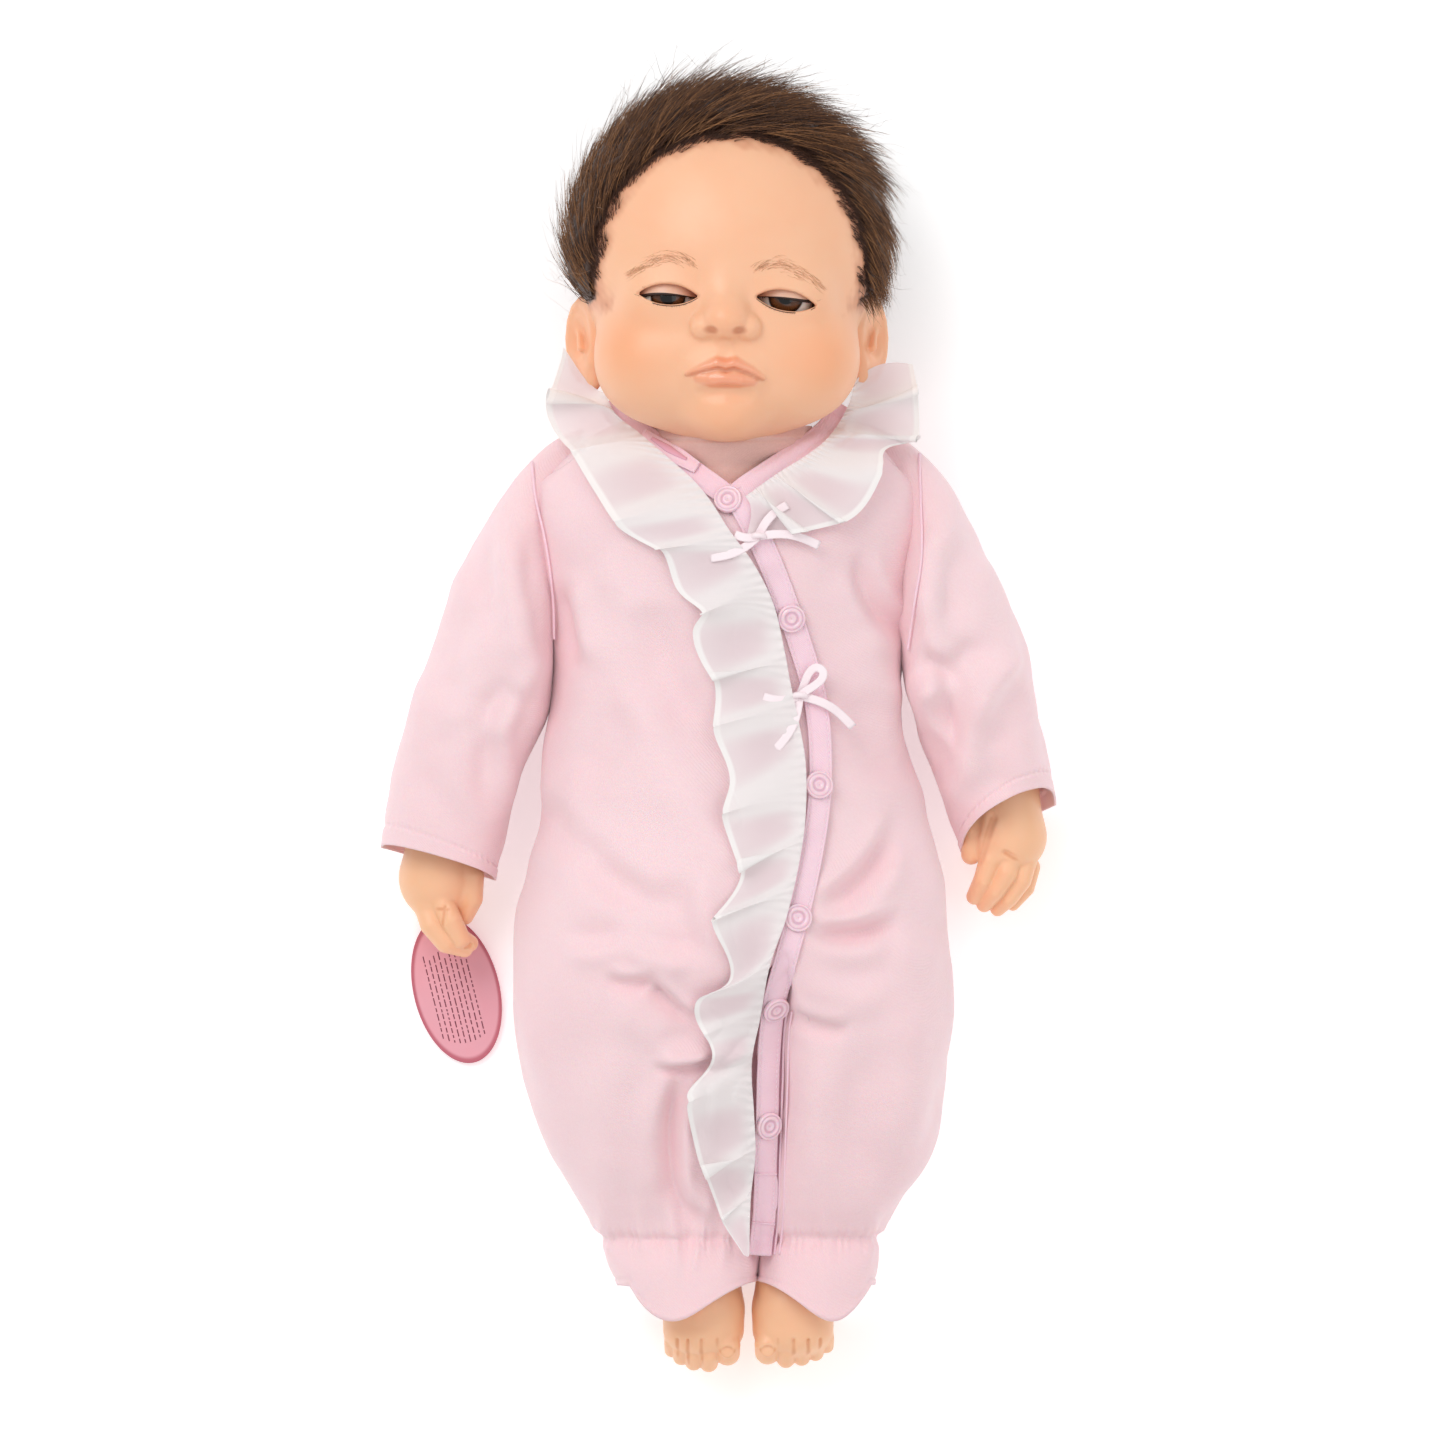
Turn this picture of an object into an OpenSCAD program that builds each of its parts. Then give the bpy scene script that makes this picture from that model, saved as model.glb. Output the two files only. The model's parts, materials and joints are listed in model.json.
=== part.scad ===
// Interactive baby doll, 508 mm tall, lying on its back.
// +Z is up out of the chest and face, +Y points to the crown of the head and
// +X to the doll's own left side. The back of the suit rests on z = 0.

/* [Torso] */
// Height of the centre line of the torso above the floor
torso_z = 43; // [42.5:0.1:43.5]
// Depth of the torso as a share of its width
torso_flat = 0.64; // [0.63:0.005:0.65]
// Thickness of a layer of the suit
suit_wall = 1.6; // [1.2:0.1:1.8]
// Thickness of the cloth of the soft body
cloth_wall = 1.2; // [0.8:0.1:1.4]
// Gap between nested soft layers
soft_gap = 0.5; // [0.4:0.05:0.6]

/* [Head] */
// Half width and half depth of the vinyl head
head_rx = 56; // [55:0.5:56.5]
// Half height of the vinyl head
head_ry = 65; // [64.5:0.5:65.5]
// Height of the head's middle along the body
head_y = 172; // [171.5:0.5:172.5]
// Wall of the vinyl head and limbs
vinyl_wall = 3; // [2.5:0.25:3.5]
// Distance of each eye from the middle of the face
eye_x = 22.5; // [22:0.25:23]
// Height of the eyes along the body
eye_y = 161.7; // [161:0.1:162.5]
// Radius of an eyeball
eye_r = 11; // [10.5:0.1:11]
// Radius of the neck groove that the cable tie turns in
neck_r = 18; // [16:0.5:20]

/* [Limbs] */
// Distance of the shoulder joints from the crown to toe line
shoulder_x = 68.5; // [68.5:0.1:69]
// Height of the shoulder axis along the body
shoulder_y = 68; // [67:0.5:69]
// Height of the shoulder axis above the floor
shoulder_z = 46; // [45:0.5:47]
// Radius of the rounded shoulder end of a sleeve
shoulder_r = 30; // [29:0.5:31]
// Height of the hip axis along the body
hip_y = -88; // [-88:0.5:-87]
// Height of the hip axis above the floor
hip_z = 44; // [43:0.5:45]
// Radius of the rounded hip end of a trouser leg
hip_r = 40; // [38:0.5:40]
// Sideways place of the middle of the hips
hip_mid = 3; // [2:0.5:4]
// Sideways place of the middle between the feet
feet_mid = 8; // [7.5:0.5:8.5]
// Radius of the post of a disc joint
post_r = 3; // [2.5:0.25:3.5]

/* [Sound and breathing module] */
// Width of the module's housing
box_w = 68; // [66:1:68]
// Length of the module's housing
box_l = 80; // [80:1:80]
// Height of the back of the housing above the floor
box_z0 = 22; // [22:0.5:22.5]
// Height of the split between the two housings
box_split = 44; // [43:0.5:45]
// Height of the front of the housing
box_z1 = 66; // [66:0.5:66.5]
// Wall of the housing
box_wall = 2; // [1.5:0.1:2]
// Radius of an AA cell
cell_r = 7.2; // [7.1:0.05:7.25]
// Length of an AA cell
cell_l = 50.5; // [49.5:0.5:50.5]

/* [Gears] */
// Tooth module of the breathing drive
gear_m = 1; // [1:0.05:1]
// Teeth of both pinions of the breathing drive
pinion_n = 14; // [14:1:14]
// Teeth of the large gear of the breathing drive
gear_n = 35; // [35:1:35]
// Tooth module of the eyelid drive
lid_m = 1; // [1:0.05:1]
// Teeth of the gear on the eyelid bar
lid_n = 20; // [20:1:20]

/* [Hidden] */
$fn = 48;
SOFT_FN = 28;
BIG = 400;
eps = 0.01;
run = 0.06;

// Half width of the suit at each place along the body, from hem to neck
SUIT_TABLE = [[-47.5, 79], [-20, 72], [8, 68], [75, 68], [90, 64], [99, 52], [103, 30]];
suit_end = SUIT_TABLE[0][0];
suit_top = SUIT_TABLE[6][0];

head_z = 61;
neck_z = 58;
neck_hole_r = 27.4;
neck_top = 107;
groove_y = [96, 102];
eye_z = 97.5;
lid_in = eye_r + 0.3;
lid_out = lid_in + 0.8;
socket_r = lid_out + 0.4;
cavity_r = head_rx - vinyl_wall - 1.5;
cavity_step = 8;
hair_y = 177;
hair_r = 60.5;
hair_reach = 72;
plate_reach = 46;
lid_bar_r = 1.2;
hairline_r = 51.4;
hairline_y = 223;
lid_rest = 5;
lid_span = 95;
pinion_lid_n = 14;
lid_axis_gap = lid_m * (lid_n + pinion_lid_n) / 2;
lid_drive_turn = 45;
lid_drive_y = eye_y - lid_axis_gap * sin(lid_drive_turn);
lid_drive_z = eye_z - lid_axis_gap * cos(lid_drive_turn);
eye_motor_r = 5;

box_y0 = -22;
box_y1 = box_y0 + box_l;
cell_y = -17;
cell_z = box_z0 + box_wall + cell_r + 0.1;
cell_pitch = 15;
gear_x = 8;
gear_z = 44;
gear_y = 41;
gear_w = 5;
pinion_gap = gear_m * (gear_n + pinion_n) / 2;
motor_z = 52;
motor_x = gear_x - sqrt(pinion_gap * pinion_gap - (motor_z - gear_z) * (motor_z - gear_z));
motor_angle = atan2(motor_z - gear_z, motor_x - gear_x);
rack_x = gear_x + gear_m * pinion_n / 2;
plate_z = 68.5;
plate_t = 3;
plate_y = [16, 56];
plate_w = 46;
button_at = [-19, -9];
button_r = 6;
speaker_at = [12, -2];
speaker_r = 15;
switch_at = [24, 46];
screw_r = 1.5;
SCREWS = [for (x = [-1, 1], y = [box_y0 + 4.5, box_y1 - 4.5]) [x * (box_w / 2 - 4.5), y]];

hip_seat = 5;
knee_y = -147;
ankle_y = -205;
hem_y = -228;
snap_r = 5;
placket_w = 8.5;
// Places along the middle of the placket, from the point of the neck downwards
PLACKET = [[2, 89], [12, 69], [25, 39], [34, 8], [36, -25], [33, -46.5]];
SNAP_YS = [84, 39, -25, -44];

// ---- places on the body ---------------------------------------------------

function half_width(y) = lookup(y, SUIT_TABLE);
function chest_z(x, y) = torso_z + torso_flat * sqrt(pow(half_width(y), 2) - x * x);
function mix(a, b, t) = a + (b - a) * t;
function placket_x(y) = -lookup(-y, [for (p = PLACKET) [-p[1], -p[0]]]);
function hip_x(side) = hip_mid + side * 41;
function ankle_x(side) = feet_mid + side * 17;
function cuff_at(side) = side < 0 ? [-108, -48] : [105, -37];

module along_x(x0, x1, r) {
    translate([min(x0, x1), 0, 0])
        rotate([0, 90, 0])
            cylinder(h = abs(x1 - x0), r = r);
}

module along_y(y0, y1, r) {
    translate([0, y0, 0])
        rotate([-90, 0, 0])
            cylinder(h = y1 - y0, r = r);
}

// A solid turned about the body's length from [radius, place] pairs
module turned_y(points) {
    rotate([90, 0, 0])
        mirror([0, 0, 1])
            rotate_extrude()
                polygon(points);
}

// The torso's form, inset from the outside of the suit, flat along its back
module torso_form(inset, y0 = suit_end, y1 = suit_top) {
    outline = concat([[0, y0], [half_width(y0) - inset, y0]],
        [for (p = SUIT_TABLE) if (p[0] > y0 && p[0] < y1) [p[1] - inset, p[0]]],
        [[half_width(y1) - inset, y1], [0, y1]]);
    intersection() {
        translate([0, 0, torso_z])
            scale([1, 1, torso_flat])
                turned_y(outline);
        translate([-BIG / 2, -BIG / 2, max(inset, 0)])
            cube([BIG, BIG, BIG]);
    }
}

// ---- gears ----------------------------------------------------------------

function involute(a) = tan(a) * 180 / PI - a;

function tooth_half(r, n, m) =
    let (pitch = m * n / 2, base = pitch * cos(20), play = 4.5 * m / pitch)
    90 / n - play + involute(20) - involute(acos(min(1, base / max(r, base))));

module gear(n, m, thick, bore, turn = 0) {
    pitch = m * n / 2;
    rads = [for (k = [0:4]) mix(pitch - 1.1 * m, pitch + 0.8 * m, k / 4)];
    points = [for (i = [0:n - 1], k = [0:9])
        let (r = rads[k < 5 ? k : 9 - k],
            a = i * 360 / n + (k < 5 ? -1 : 1) * tooth_half(r, n, m))
        [r * cos(a), r * sin(a)]];
    rotate([0, 0, turn])
        difference() {
            linear_extrude(thick)
                polygon(points);
            translate([0, 0, -1])
                cylinder(h = thick + 2, r = bore);
        }
}

// A gear whose axis lies along the body
module gear_y(n, m, thick, bore, turn) {
    rotate([90, 0, 0])
        mirror([0, 0, 1])
            gear(n, m, thick, bore, turn);
}

// ---- soft torso -----------------------------------------------------------

module neck_hole() {
    translate([0, 0, neck_z])
        along_y(83, 120, neck_hole_r);
}

module module_space() {
    translate([-box_w / 2 - 1.5, box_y0 - 2, box_z0 - 4])
        cube([box_w + 3, box_l + 4, 59]);
    translate([-28, box_y0 + 2, -1])
        cube([56, box_l - 6, box_z0]);
}

module shoulder_space(r, x0) {
    for (side = [-1, 1])
        translate([0, shoulder_y, shoulder_z])
            along_x(side * x0, side * 75, r);
}

module hip_space(gap) {
    translate([hip_mid - hip_seat - gap, hip_y, hip_z - 14 - gap])
        cube([2 * (hip_seat + gap), 60 + gap, 28 + 2 * gap]);
}

module torso_stuffing() {
    inset = suit_wall + soft_gap + cloth_wall + soft_gap;
    color("whitesmoke")
        difference() {
            torso_form(inset, suit_end + 4, 97);
            neck_hole();
            module_space();
            shoulder_space(12, 56);
            hip_space(soft_gap);
        }
}

module body_cloth() {
    inset = suit_wall + soft_gap;
    color("mistyrose")
        difference() {
            torso_form(inset, suit_end + 2, 99);
            torso_form(inset + cloth_wall, suit_end + 2 + cloth_wall, 99 - cloth_wall);
            neck_hole();
            shoulder_space(12, 56);
            hip_space(soft_gap);
        }
}

module neck_cloth() {
    color("rosybrown")
        translate([0, 0, neck_z])
            rotate([90, 0, 0])
                mirror([0, 0, 1])
                    rotate_extrude()
                        polygon([[neck_r + 0.6, 97], [25.6, 97], [25.6, 84], [27, 84],
                            [27, neck_top], [25.6, neck_top], [25.6, 98.2],
                            [neck_r + 0.6, 98.2]]);
}

module neck_cable_tie() {
    color("white")
        translate([0, 0, neck_z])
            difference() {
                along_y(98.5, 101, neck_r + 2);
                along_y(98, 102, neck_r + run);
            }
}

module shoulder_washers() {
    color("whitesmoke")
        for (side = [-1, 1])
            translate([0, shoulder_y, shoulder_z])
                difference() {
                    along_x(side * 58, side * 61, 10);
                    along_x(side * 57, side * 62, post_r + run);
                }
}

module hip_plate() {
    color("whitesmoke")
        difference() {
            union() {
                translate([0, hip_y, hip_z])
                    along_x(hip_mid - hip_seat, hip_mid + hip_seat, 16);
                hip_space(0);
            }
            translate([0, hip_y, hip_z])
                along_x(hip_mid - 9, hip_mid + 9, post_r + run);
        }
}

// ---- suit -----------------------------------------------------------------

module bodice() {
    color("pink")
        difference() {
            torso_form(0);
            torso_form(suit_wall, suit_end, 101);
            neck_hole();
            shoulder_space(27, 40);
        }
}

// A layer on the chest between two heights over the suit, cut to an outline
module chest_layer(low, high, outline) {
    intersection() {
        difference() {
            torso_form(-high);
            torso_form(-low, suit_end - 1, suit_top + 1);
            neck_hole();
        }
        translate([0, 0, torso_z])
            linear_extrude(60)
                polygon(outline);
    }
}

module placket_upper() {
    w = placket_w / 2;
    color("lightpink")
        chest_layer(0.2, 1.4, concat([for (p = PLACKET) [p[0] + w, p[1]]],
            [for (i = [5:-1:0]) [PLACKET[i][0] - w, PLACKET[i][1]]]));
}

module ring_snap(x, y, z) {
    translate([x, y, z])
        difference() {
            cylinder(h = 1.6, r = snap_r);
            translate([0, 0, 1])
                cylinder(h = 1, r = snap_r - 1.8);
        }
}

module snaps_upper() {
    color("thistle")
        for (y = SNAP_YS)
            let (x = placket_x(y))
                ring_snap(x, min(y, 84), max(chest_z(x, y), chest_z(x, y + 4)) + 1.5);
}

module ruffle_upper() {
    color("snow") {
        translate([0, 0, neck_z])
            difference() {
                along_y(suit_top + 0.3, suit_top + 2, 54);
                along_y(suit_top, suit_top + 3, neck_hole_r + 0.6);
            }
        chest_layer(1.6, 2.8, concat(
            [for (p = PLACKET) [p[0] - 5.2, min(p[1], 84)]],
            [[0, -46.5], [-6, -5], [-12, 28], [-26, 60], [-40, 84]]));
    }
}

module bow(x, y, turn) {
    slope = atan(torso_flat * x / sqrt(pow(half_width(y), 2) - x * x));
    translate([x, y, chest_z(x, y)])
        rotate([0, slope, turn]) {
            for (side = [-1, 1])
                scale([side, 1, 1])
                    translate([0, 0, 4])
                        linear_extrude(1.6)
                            polygon([[0, -1], [14, -4], [16, 0], [14, 4], [0, 1]]);
            translate([0, 0, 3.6])
                cylinder(h = 2.6, r = 2.4);
        }
}

module bow_upper() {
    color("white")
        bow(18, 69, 8);
}

module bow_lower() {
    color("white")
        bow(28, 9, -10);
}

module back_closure() {
    back = suit_wall + soft_gap + cloth_wall;
    color("white")
        translate([-9, box_y0 + 4, back + 0.2])
            cube([18, box_l - 10, 2]);
}

// ---- sound and breathing module -------------------------------------------

module screw_bores(r) {
    for (p = SCREWS)
        translate([p[0], p[1], box_z0 - 3])
            cylinder(h = 40, r = r);
}

module box_posts(z0, z1) {
    for (p = SCREWS)
        translate([p[0], p[1], z0])
            cylinder(h = z1 - z0, r = 3.4);
}

module box_shell(z0, z1, open_top) {
    difference() {
        translate([-box_w / 2, box_y0, z0])
            cube([box_w, box_l, z1 - z0]);
        translate([box_wall - box_w / 2, box_y0 + box_wall, open_top ? z0 + box_wall : z0 - 1])
            cube([box_w - 2 * box_wall, box_l - 2 * box_wall, z1 - z0 - box_wall + 1]);
    }
}

module rear_housing() {
    color("gainsboro")
        difference() {
            union() {
                box_shell(box_z0, box_split, true);
                box_posts(box_z0, box_split);
            }
            translate([-23, cell_y - 2, box_z0 - 1])
                cube([46, cell_l + 4, box_wall + 2]);
            translate([switch_at[0] - 4.5, switch_at[1] - 1.7, box_z0 - 1])
                cube([9, 3.4, box_wall + 2]);
            screw_bores(screw_r);
        }
}

module front_housing() {
    color("white")
        difference() {
            union() {
                box_shell(box_split, box_z1, false);
                box_posts(box_split, box_z1);
            }
            screw_bores(screw_r);
            translate([button_at[0], button_at[1], box_z1 - 5])
                cylinder(h = 9, r = button_r + run);
            for (i = [-2:2], j = [-2:2])
                if (i * i + j * j < 6)
                    translate([speaker_at[0] + 4 * i, speaker_at[1] + 4 * j, box_z1 - 5])
                        cylinder(h = 9, r = 1.2);
            translate([rack_x - 1.5, gear_y + gear_w + 0.7, box_z1 - 5])
                cube([8, gear_w + 1.6, 9]);
        }
}

module screw(x, y, z, length) {
    translate([x, y, z])
        difference() {
            union() {
                cylinder(h = length, r = screw_r);
                translate([0, 0, -1.6])
                    cylinder(h = 1.6, r = 2.6);
            }
            translate([-1.8, -0.4, -2])
                cube([3.6, 0.8, 1]);
        }
}

module housing_screws() {
    color("silver")
        for (p = SCREWS)
            screw(p[0], p[1], box_z0, 36);
}

module battery_door() {
    color("gainsboro") {
        translate([-24, cell_y - 3, box_z0 - 2])
            cube([48, cell_l + 6, 2]);
        translate([-6, cell_y + cell_l + 3, box_z0 - 2])
            cube([12, 3, 1.6]);
    }
}

module battery_cells() {
    color("dimgray")
        for (i = [-1:1])
            translate([i * cell_pitch, 0, cell_z]) {
                along_y(cell_y, cell_y + cell_l - 1, cell_r);
                along_y(cell_y + cell_l - 1, cell_y + cell_l, 2.7);
            }
}

module battery_contacts() {
    color("silver")
        for (y = [cell_y - 1.4, cell_y + cell_l + 0.1])
            for (i = [-1:1])
                translate([i * cell_pitch - 5, y, cell_z - 5])
                    cube([10, 0.6, 10]);
}

module circuit_board() {
    color("seagreen")
        translate([-3, -18, 40.4]) {
            difference() {
                cube([33, 52, 1.6]);
                translate([box_w / 2 - 1.5, 0.5, -1])
                    cylinder(h = 4, r = 4);
            }
            for (p = [[4, 6], [16, 6], [6, 24], [20, 30]])
                translate([p[0], p[1], 1.6])
                    cube([8, 8, 1.6]);
        }
}

module speaker_frame() {
    color("dimgray")
        translate([speaker_at[0], speaker_at[1], 0]) {
            difference() {
                translate([0, 0, 55])
                    cylinder(h = 8.9, r = speaker_r);
                translate([0, 0, 56.5])
                    cylinder(h = 9, r = speaker_r - 1.5);
            }
            translate([0, 0, 48])
                cylinder(h = 7, r = 8);
        }
}

module speaker_cone() {
    color("black")
        translate([speaker_at[0], speaker_at[1], 57])
            difference() {
                cylinder(h = 5, r1 = 5, r2 = speaker_r - 1.8);
                translate([0, 0, 0.8])
                    cylinder(h = 5, r1 = 4.4, r2 = speaker_r - 2.4);
            }
}

module breath_motor() {
    color("silver")
        translate([motor_x, 0, motor_z]) {
            along_y(12, gear_y - 3, 8.8);
            along_y(gear_y - 3, gear_y + gear_w + 1, 1);
        }
}

module power_switch() {
    color("black")
        translate([switch_at[0] - 2.5, switch_at[1] - 1.5, box_z0 - 1.5])
            union() {
                cube([5, 3, 4]);
                translate([-2, -2, 3.6])
                    cube([9, 7, 1.4]);
            }
}

module touch_button() {
    color("tomato")
        translate([button_at[0], button_at[1], 0]) {
            translate([0, 0, box_z1 - 3.6])
                cylinder(h = 6, r = button_r);
            translate([0, 0, box_z1 - 4])
                cylinder(h = 1.5, r = button_r + 1.4);
        }
}

module motor_pinion() {
    color("gold")
        translate([motor_x, gear_y, motor_z])
            gear_y(pinion_n, gear_m, gear_w, 1 + run, motor_angle + 180 / pinion_n + 180);
}

// The large gear and the rack's pinion on one shaft
module lift_gear() {
    color("ivory")
        translate([gear_x, gear_y, gear_z]) {
            gear_y(gear_n, gear_m, gear_w, 1.5, motor_angle);
            translate([0, gear_w, 0])
                gear_y(pinion_n, gear_m, gear_w + 2, 1.5, 180 / pinion_n);
            along_y(-3, 2 * gear_w + 3.2, 1.5);
        }
}

// A plate under the chest cloth, moved up and down by a rack
module breath_plate() {
    pitch = PI * gear_m;
    color("white") {
        translate([-plate_w / 2, plate_y[0], plate_z])
            cube([plate_w, plate_y[1] - plate_y[0], plate_t]);
        translate([rack_x + 1.2, gear_y + gear_w + 1, gear_z - 9])
            cube([4, gear_w + 1, plate_z + 1 - gear_z + 9]);
        for (i = [-2:2])
            translate([rack_x, gear_y + gear_w + 1, gear_z + i * pitch])
                rotate([-90, 0, 0])
                    linear_extrude(gear_w + 1)
                        polygon([[1.3, -1.1], [-0.8, -0.38], [-0.8, 0.38], [1.3, 1.1]]);
    }
}

// ---- head -----------------------------------------------------------------

module head_form(grow) {
    for (side = [-1, 1])
        translate([0, head_y + side * (head_ry - head_rx), head_z])
            rotate([0, 0, -side * 90])
                sphere(head_rx + grow);
}

module eye_place(side) {
    translate([side * eye_x, eye_y, eye_z])
        children();
}

module ball(at, size) {
    translate(at)
        scale(size)
            sphere(1);
}

module head_shell() {
    color("peachpuff")
        difference() {
            union() {
                head_form(0);
                translate([0, 0, neck_z]) {
                    along_y(groove_y[1], 116, 24);
                    along_y(groove_y[0] - 1, groove_y[1] + 1, neck_r);
                    along_y(groove_y[0] - 6, groove_y[0], 22);
                }
                ball([0, 152, 116], [11, 8, 11]);
                for (side = [-1, 1])
                    ball([side * 55, 146, 58], [6, 17, 11]);
            }
            for (side = [-1, 1])
                translate([0, head_y + side * cavity_step, head_z])
                    rotate([0, 0, -side * 90])
                        sphere(cavity_r);
            translate([0, 0, neck_z])
                along_y(80, 125, 14);
            for (side = [-1, 1])
                eye_place(side) {
                    sphere(socket_r);
                    cylinder(h = 30, r = 9);
                }
        }
}

module hair_cap() {
    color("saddlebrown")
        difference() {
            for (side = [-1, 1])
                translate([0, hair_y + side * (hair_reach - hair_r), head_z])
                    sphere(hair_r);
            head_form(0.3);
            translate([0, hairline_y - hairline_r, head_z - 20])
                cylinder(h = 100, r = hairline_r);
            translate([-BIG / 2, 168 - BIG, head_z - 24])
                cube([BIG, BIG, BIG]);
            translate([-BIG / 2, 128 - BIG, -1])
                cube([BIG, BIG, BIG]);
        }
}

module eyeballs() {
    color("ivory")
        for (side = [-1, 1])
            eye_place(side)
                sphere(eye_r);
}

// One lid, a slice of a thin ball with a disc where the bar meets it
module eyelid(side) {
    eye_place(side) {
        intersection() {
            difference() {
                sphere(lid_out);
                sphere(lid_in);
            }
            rotate([-lid_rest, 0, 0])
                translate([-20, 0, -20])
                    cube([40, 40, 40]);
            rotate([90 - lid_rest - lid_span, 0, 0])
                translate([-20, -20, 0])
                    cube([40, 40, 40]);
        }
        along_x(-side * lid_in, -side * (lid_out + 0.1), 3);
    }
}

module eyelids() {
    color("lightpink")
        for (side = [-1, 1])
            eyelid(side);
}

module lid_bar() {
    reach = eye_x - lid_out - 0.1;
    color("silver")
        translate([0, eye_y, eye_z]) {
            along_x(-reach, reach, lid_bar_r);
            rotate([0, 90, 0])
                gear(lid_n, lid_m, 3, lid_bar_r, -lid_drive_turn);
        }
}

// A plate across the inside of the head, with a saddle for the motor
module eye_carrier() {
    color("dimgray")
        difference() {
            union() {
                translate([-plate_reach, eye_y - 5, 80])
                    cube([2 * plate_reach, 14, 3]);
                translate([12, lid_drive_y - 3, 77])
                    cube([10, 14, 6]);
                for (side = [-1, 1])
                    translate([side * 6.5 - 1.5, eye_y - 4, 82])
                        cube([3, 8, 19]);
                for (side = [-1, 1])
                    translate([side * eye_x, eye_y, 82])
                        cylinder(h = 6.5, r = 7);
            }
            translate([0, eye_y, eye_z])
                along_x(-9, 9, lid_bar_r + run);
            for (side = [-1, 1])
                eye_place(side)
                    sphere(eye_r + 0.02);
            translate([-3, 150, 79])
                cube([7, 9.5, 5]);
            translate([0, lid_drive_y, lid_drive_z])
                along_x(8, 27, eye_motor_r + 0.02);
        }
}

module eye_motor() {
    color("silver")
        translate([0, lid_drive_y, lid_drive_z]) {
            along_x(8.4, 26, eye_motor_r);
            along_x(-2, 8.4, 1);
        }
}

module eye_pinion() {
    color("gold")
        translate([0, lid_drive_y, lid_drive_z])
            rotate([0, 90, 0])
                gear(pinion_lid_n, lid_m, 3, 1 + run,
                     180 - lid_drive_turn + 180 / pinion_lid_n);
}

// ---- arms -----------------------------------------------------------------

// The form of a sleeve, inset from its outside
module sleeve_form(side, inset, open) {
    cuff = cuff_at(side);
    turn = side * atan((abs(cuff[0]) - 87) / (62 - cuff[1]));
    $fn = SOFT_FN;
    hull() {
        translate([0, shoulder_y, shoulder_z])
            along_x(side * (shoulder_x - open), side * (shoulder_x + 3), shoulder_r - inset);
        translate([side * 87, 62, 44])
            sphere(18 - inset);
        translate([cuff[0], cuff[1], 26])
            rotate([0, 0, turn])
                along_y(-1 - open, 1, 24.5 - inset);
    }
}

module sleeve(side) {
    color("pink")
        difference() {
            sleeve_form(side, 0, 0);
            sleeve_form(side, suit_wall, 1);
        }
}

// A limb's own line from the joint end towards the hand or foot
module limb_frame(from, to) {
    d = to - from;
    translate(from)
        rotate([0, 0, -atan2(d[0], d[1])])
            rotate([atan2(d[2], norm([d[0], d[1]])), 0, 0])
                children();
}

function elbow(side) = [side * 95, 18, 37];
function wrist(side) = [cuff_at(side)[0], cuff_at(side)[1] - 4, 25];
function knee(side) = [mix(hip_x(side), ankle_x(side), 0.5), knee_y, 37];
function ankle(side) = [ankle_x(side), ankle_y - 12, 25];

module upper_arm(side) {
    $fn = SOFT_FN;
    color("mistyrose")
        difference() {
            hull() {
                translate([0, shoulder_y, shoulder_z])
                    along_x(side * 74.9, side * 80, 17);
                limb_frame(elbow(side), wrist(side))
                    along_y(-4, -0.4, 13);
            }
            translate([0, shoulder_y, shoulder_z])
                along_x(side * 70, side * 86, post_r, $fn = 48);
        }
}

// Vinyl forearm with its tie groove, palm, thumb and the closed row of fingers
module hand(side) {
    length = norm(wrist(side) - elbow(side));
    color("navajowhite")
        limb_frame(elbow(side), wrist(side)) {
            turned_y([[0, 0], [13, 0], [13, 3], [10.5, 3], [10.5, 7], [13.5, 9],
                [15, 22], [12.5, length - 14], [11, length - 4], [0, length - 4]]);
            translate([0, length + 8, -1])
                scale([14, 18, 9])
                    sphere(1);
            translate([0, length + 21, -4])
                scale([11, 14, 6])
                    sphere(1);
            translate([-side * 13, length + 9, 2])
                scale([5, 12, 5])
                    sphere(1);
        }
}

module shoulder_post(side) {
    color("whitesmoke")
        translate([0, shoulder_y, shoulder_z]) {
            along_x(side * 57, side * 86, post_r);
            along_x(side * 72.4, side * 74.8, 13);
        }
}

module limb_tie(groove, width) {
    difference() {
        along_y(3.3, 6.4, groove + width);
        along_y(3, 7, groove);
    }
}

module arm_tie(side) {
    color("white")
        limb_frame(elbow(side), wrist(side))
            limb_tie(10.5, 2);
}

// An oval card with the ear that its loop passes through
module hang_tag() {
    color("palevioletred")
        translate([-104, -106, 0.6])
            rotate([0, 0, 15])
                scale([16.5, 29, 1])
                    cylinder(h = 1, r = 1);
}

// ---- legs -----------------------------------------------------------------

// Room for one leg: clear of the hip plate, then up to the middle of the feet
module leg_room(side) {
    edge = hip_mid + side * (hip_seat + 0.5);
    low = feet_mid + side * 0.4;
    translate([side < 0 ? edge - BIG : edge, knee_y, -1])
        cube([BIG, BIG, BIG]);
    translate([side < 0 ? low - BIG : low, knee_y - BIG, -1])
        cube([BIG, BIG, BIG]);
}

module trouser_form(side, inset, open) {
    $fn = SOFT_FN;
    hull() {
        translate([hip_x(side), hip_y, hip_z])
            along_x(-side * 38, side * 26, hip_r - inset);
        translate([hip_x(side), hip_y, hip_z])
            along_x(-side * 38, side * (42 - inset), 24 - inset);
        translate([hip_x(side) - side * 2, -128, 42])
            scale([1, 1, 0.88])
                sphere(43 - inset);
        translate([ankle_x(side) + side * 8, ankle_y, 26])
            scale([1.15, 1, 0.85])
                along_y(-open, 2, 28 - inset);
    }
    translate([ankle_x(side) + side * 8, 0, 26])
        scale([1, 1, 0.84])
            turned_y([[0, ankle_y - open / 2], [28 - inset, ankle_y - open / 2],
                [29.5 - inset, hem_y - open], [0, hem_y - open]]);
}

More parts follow.
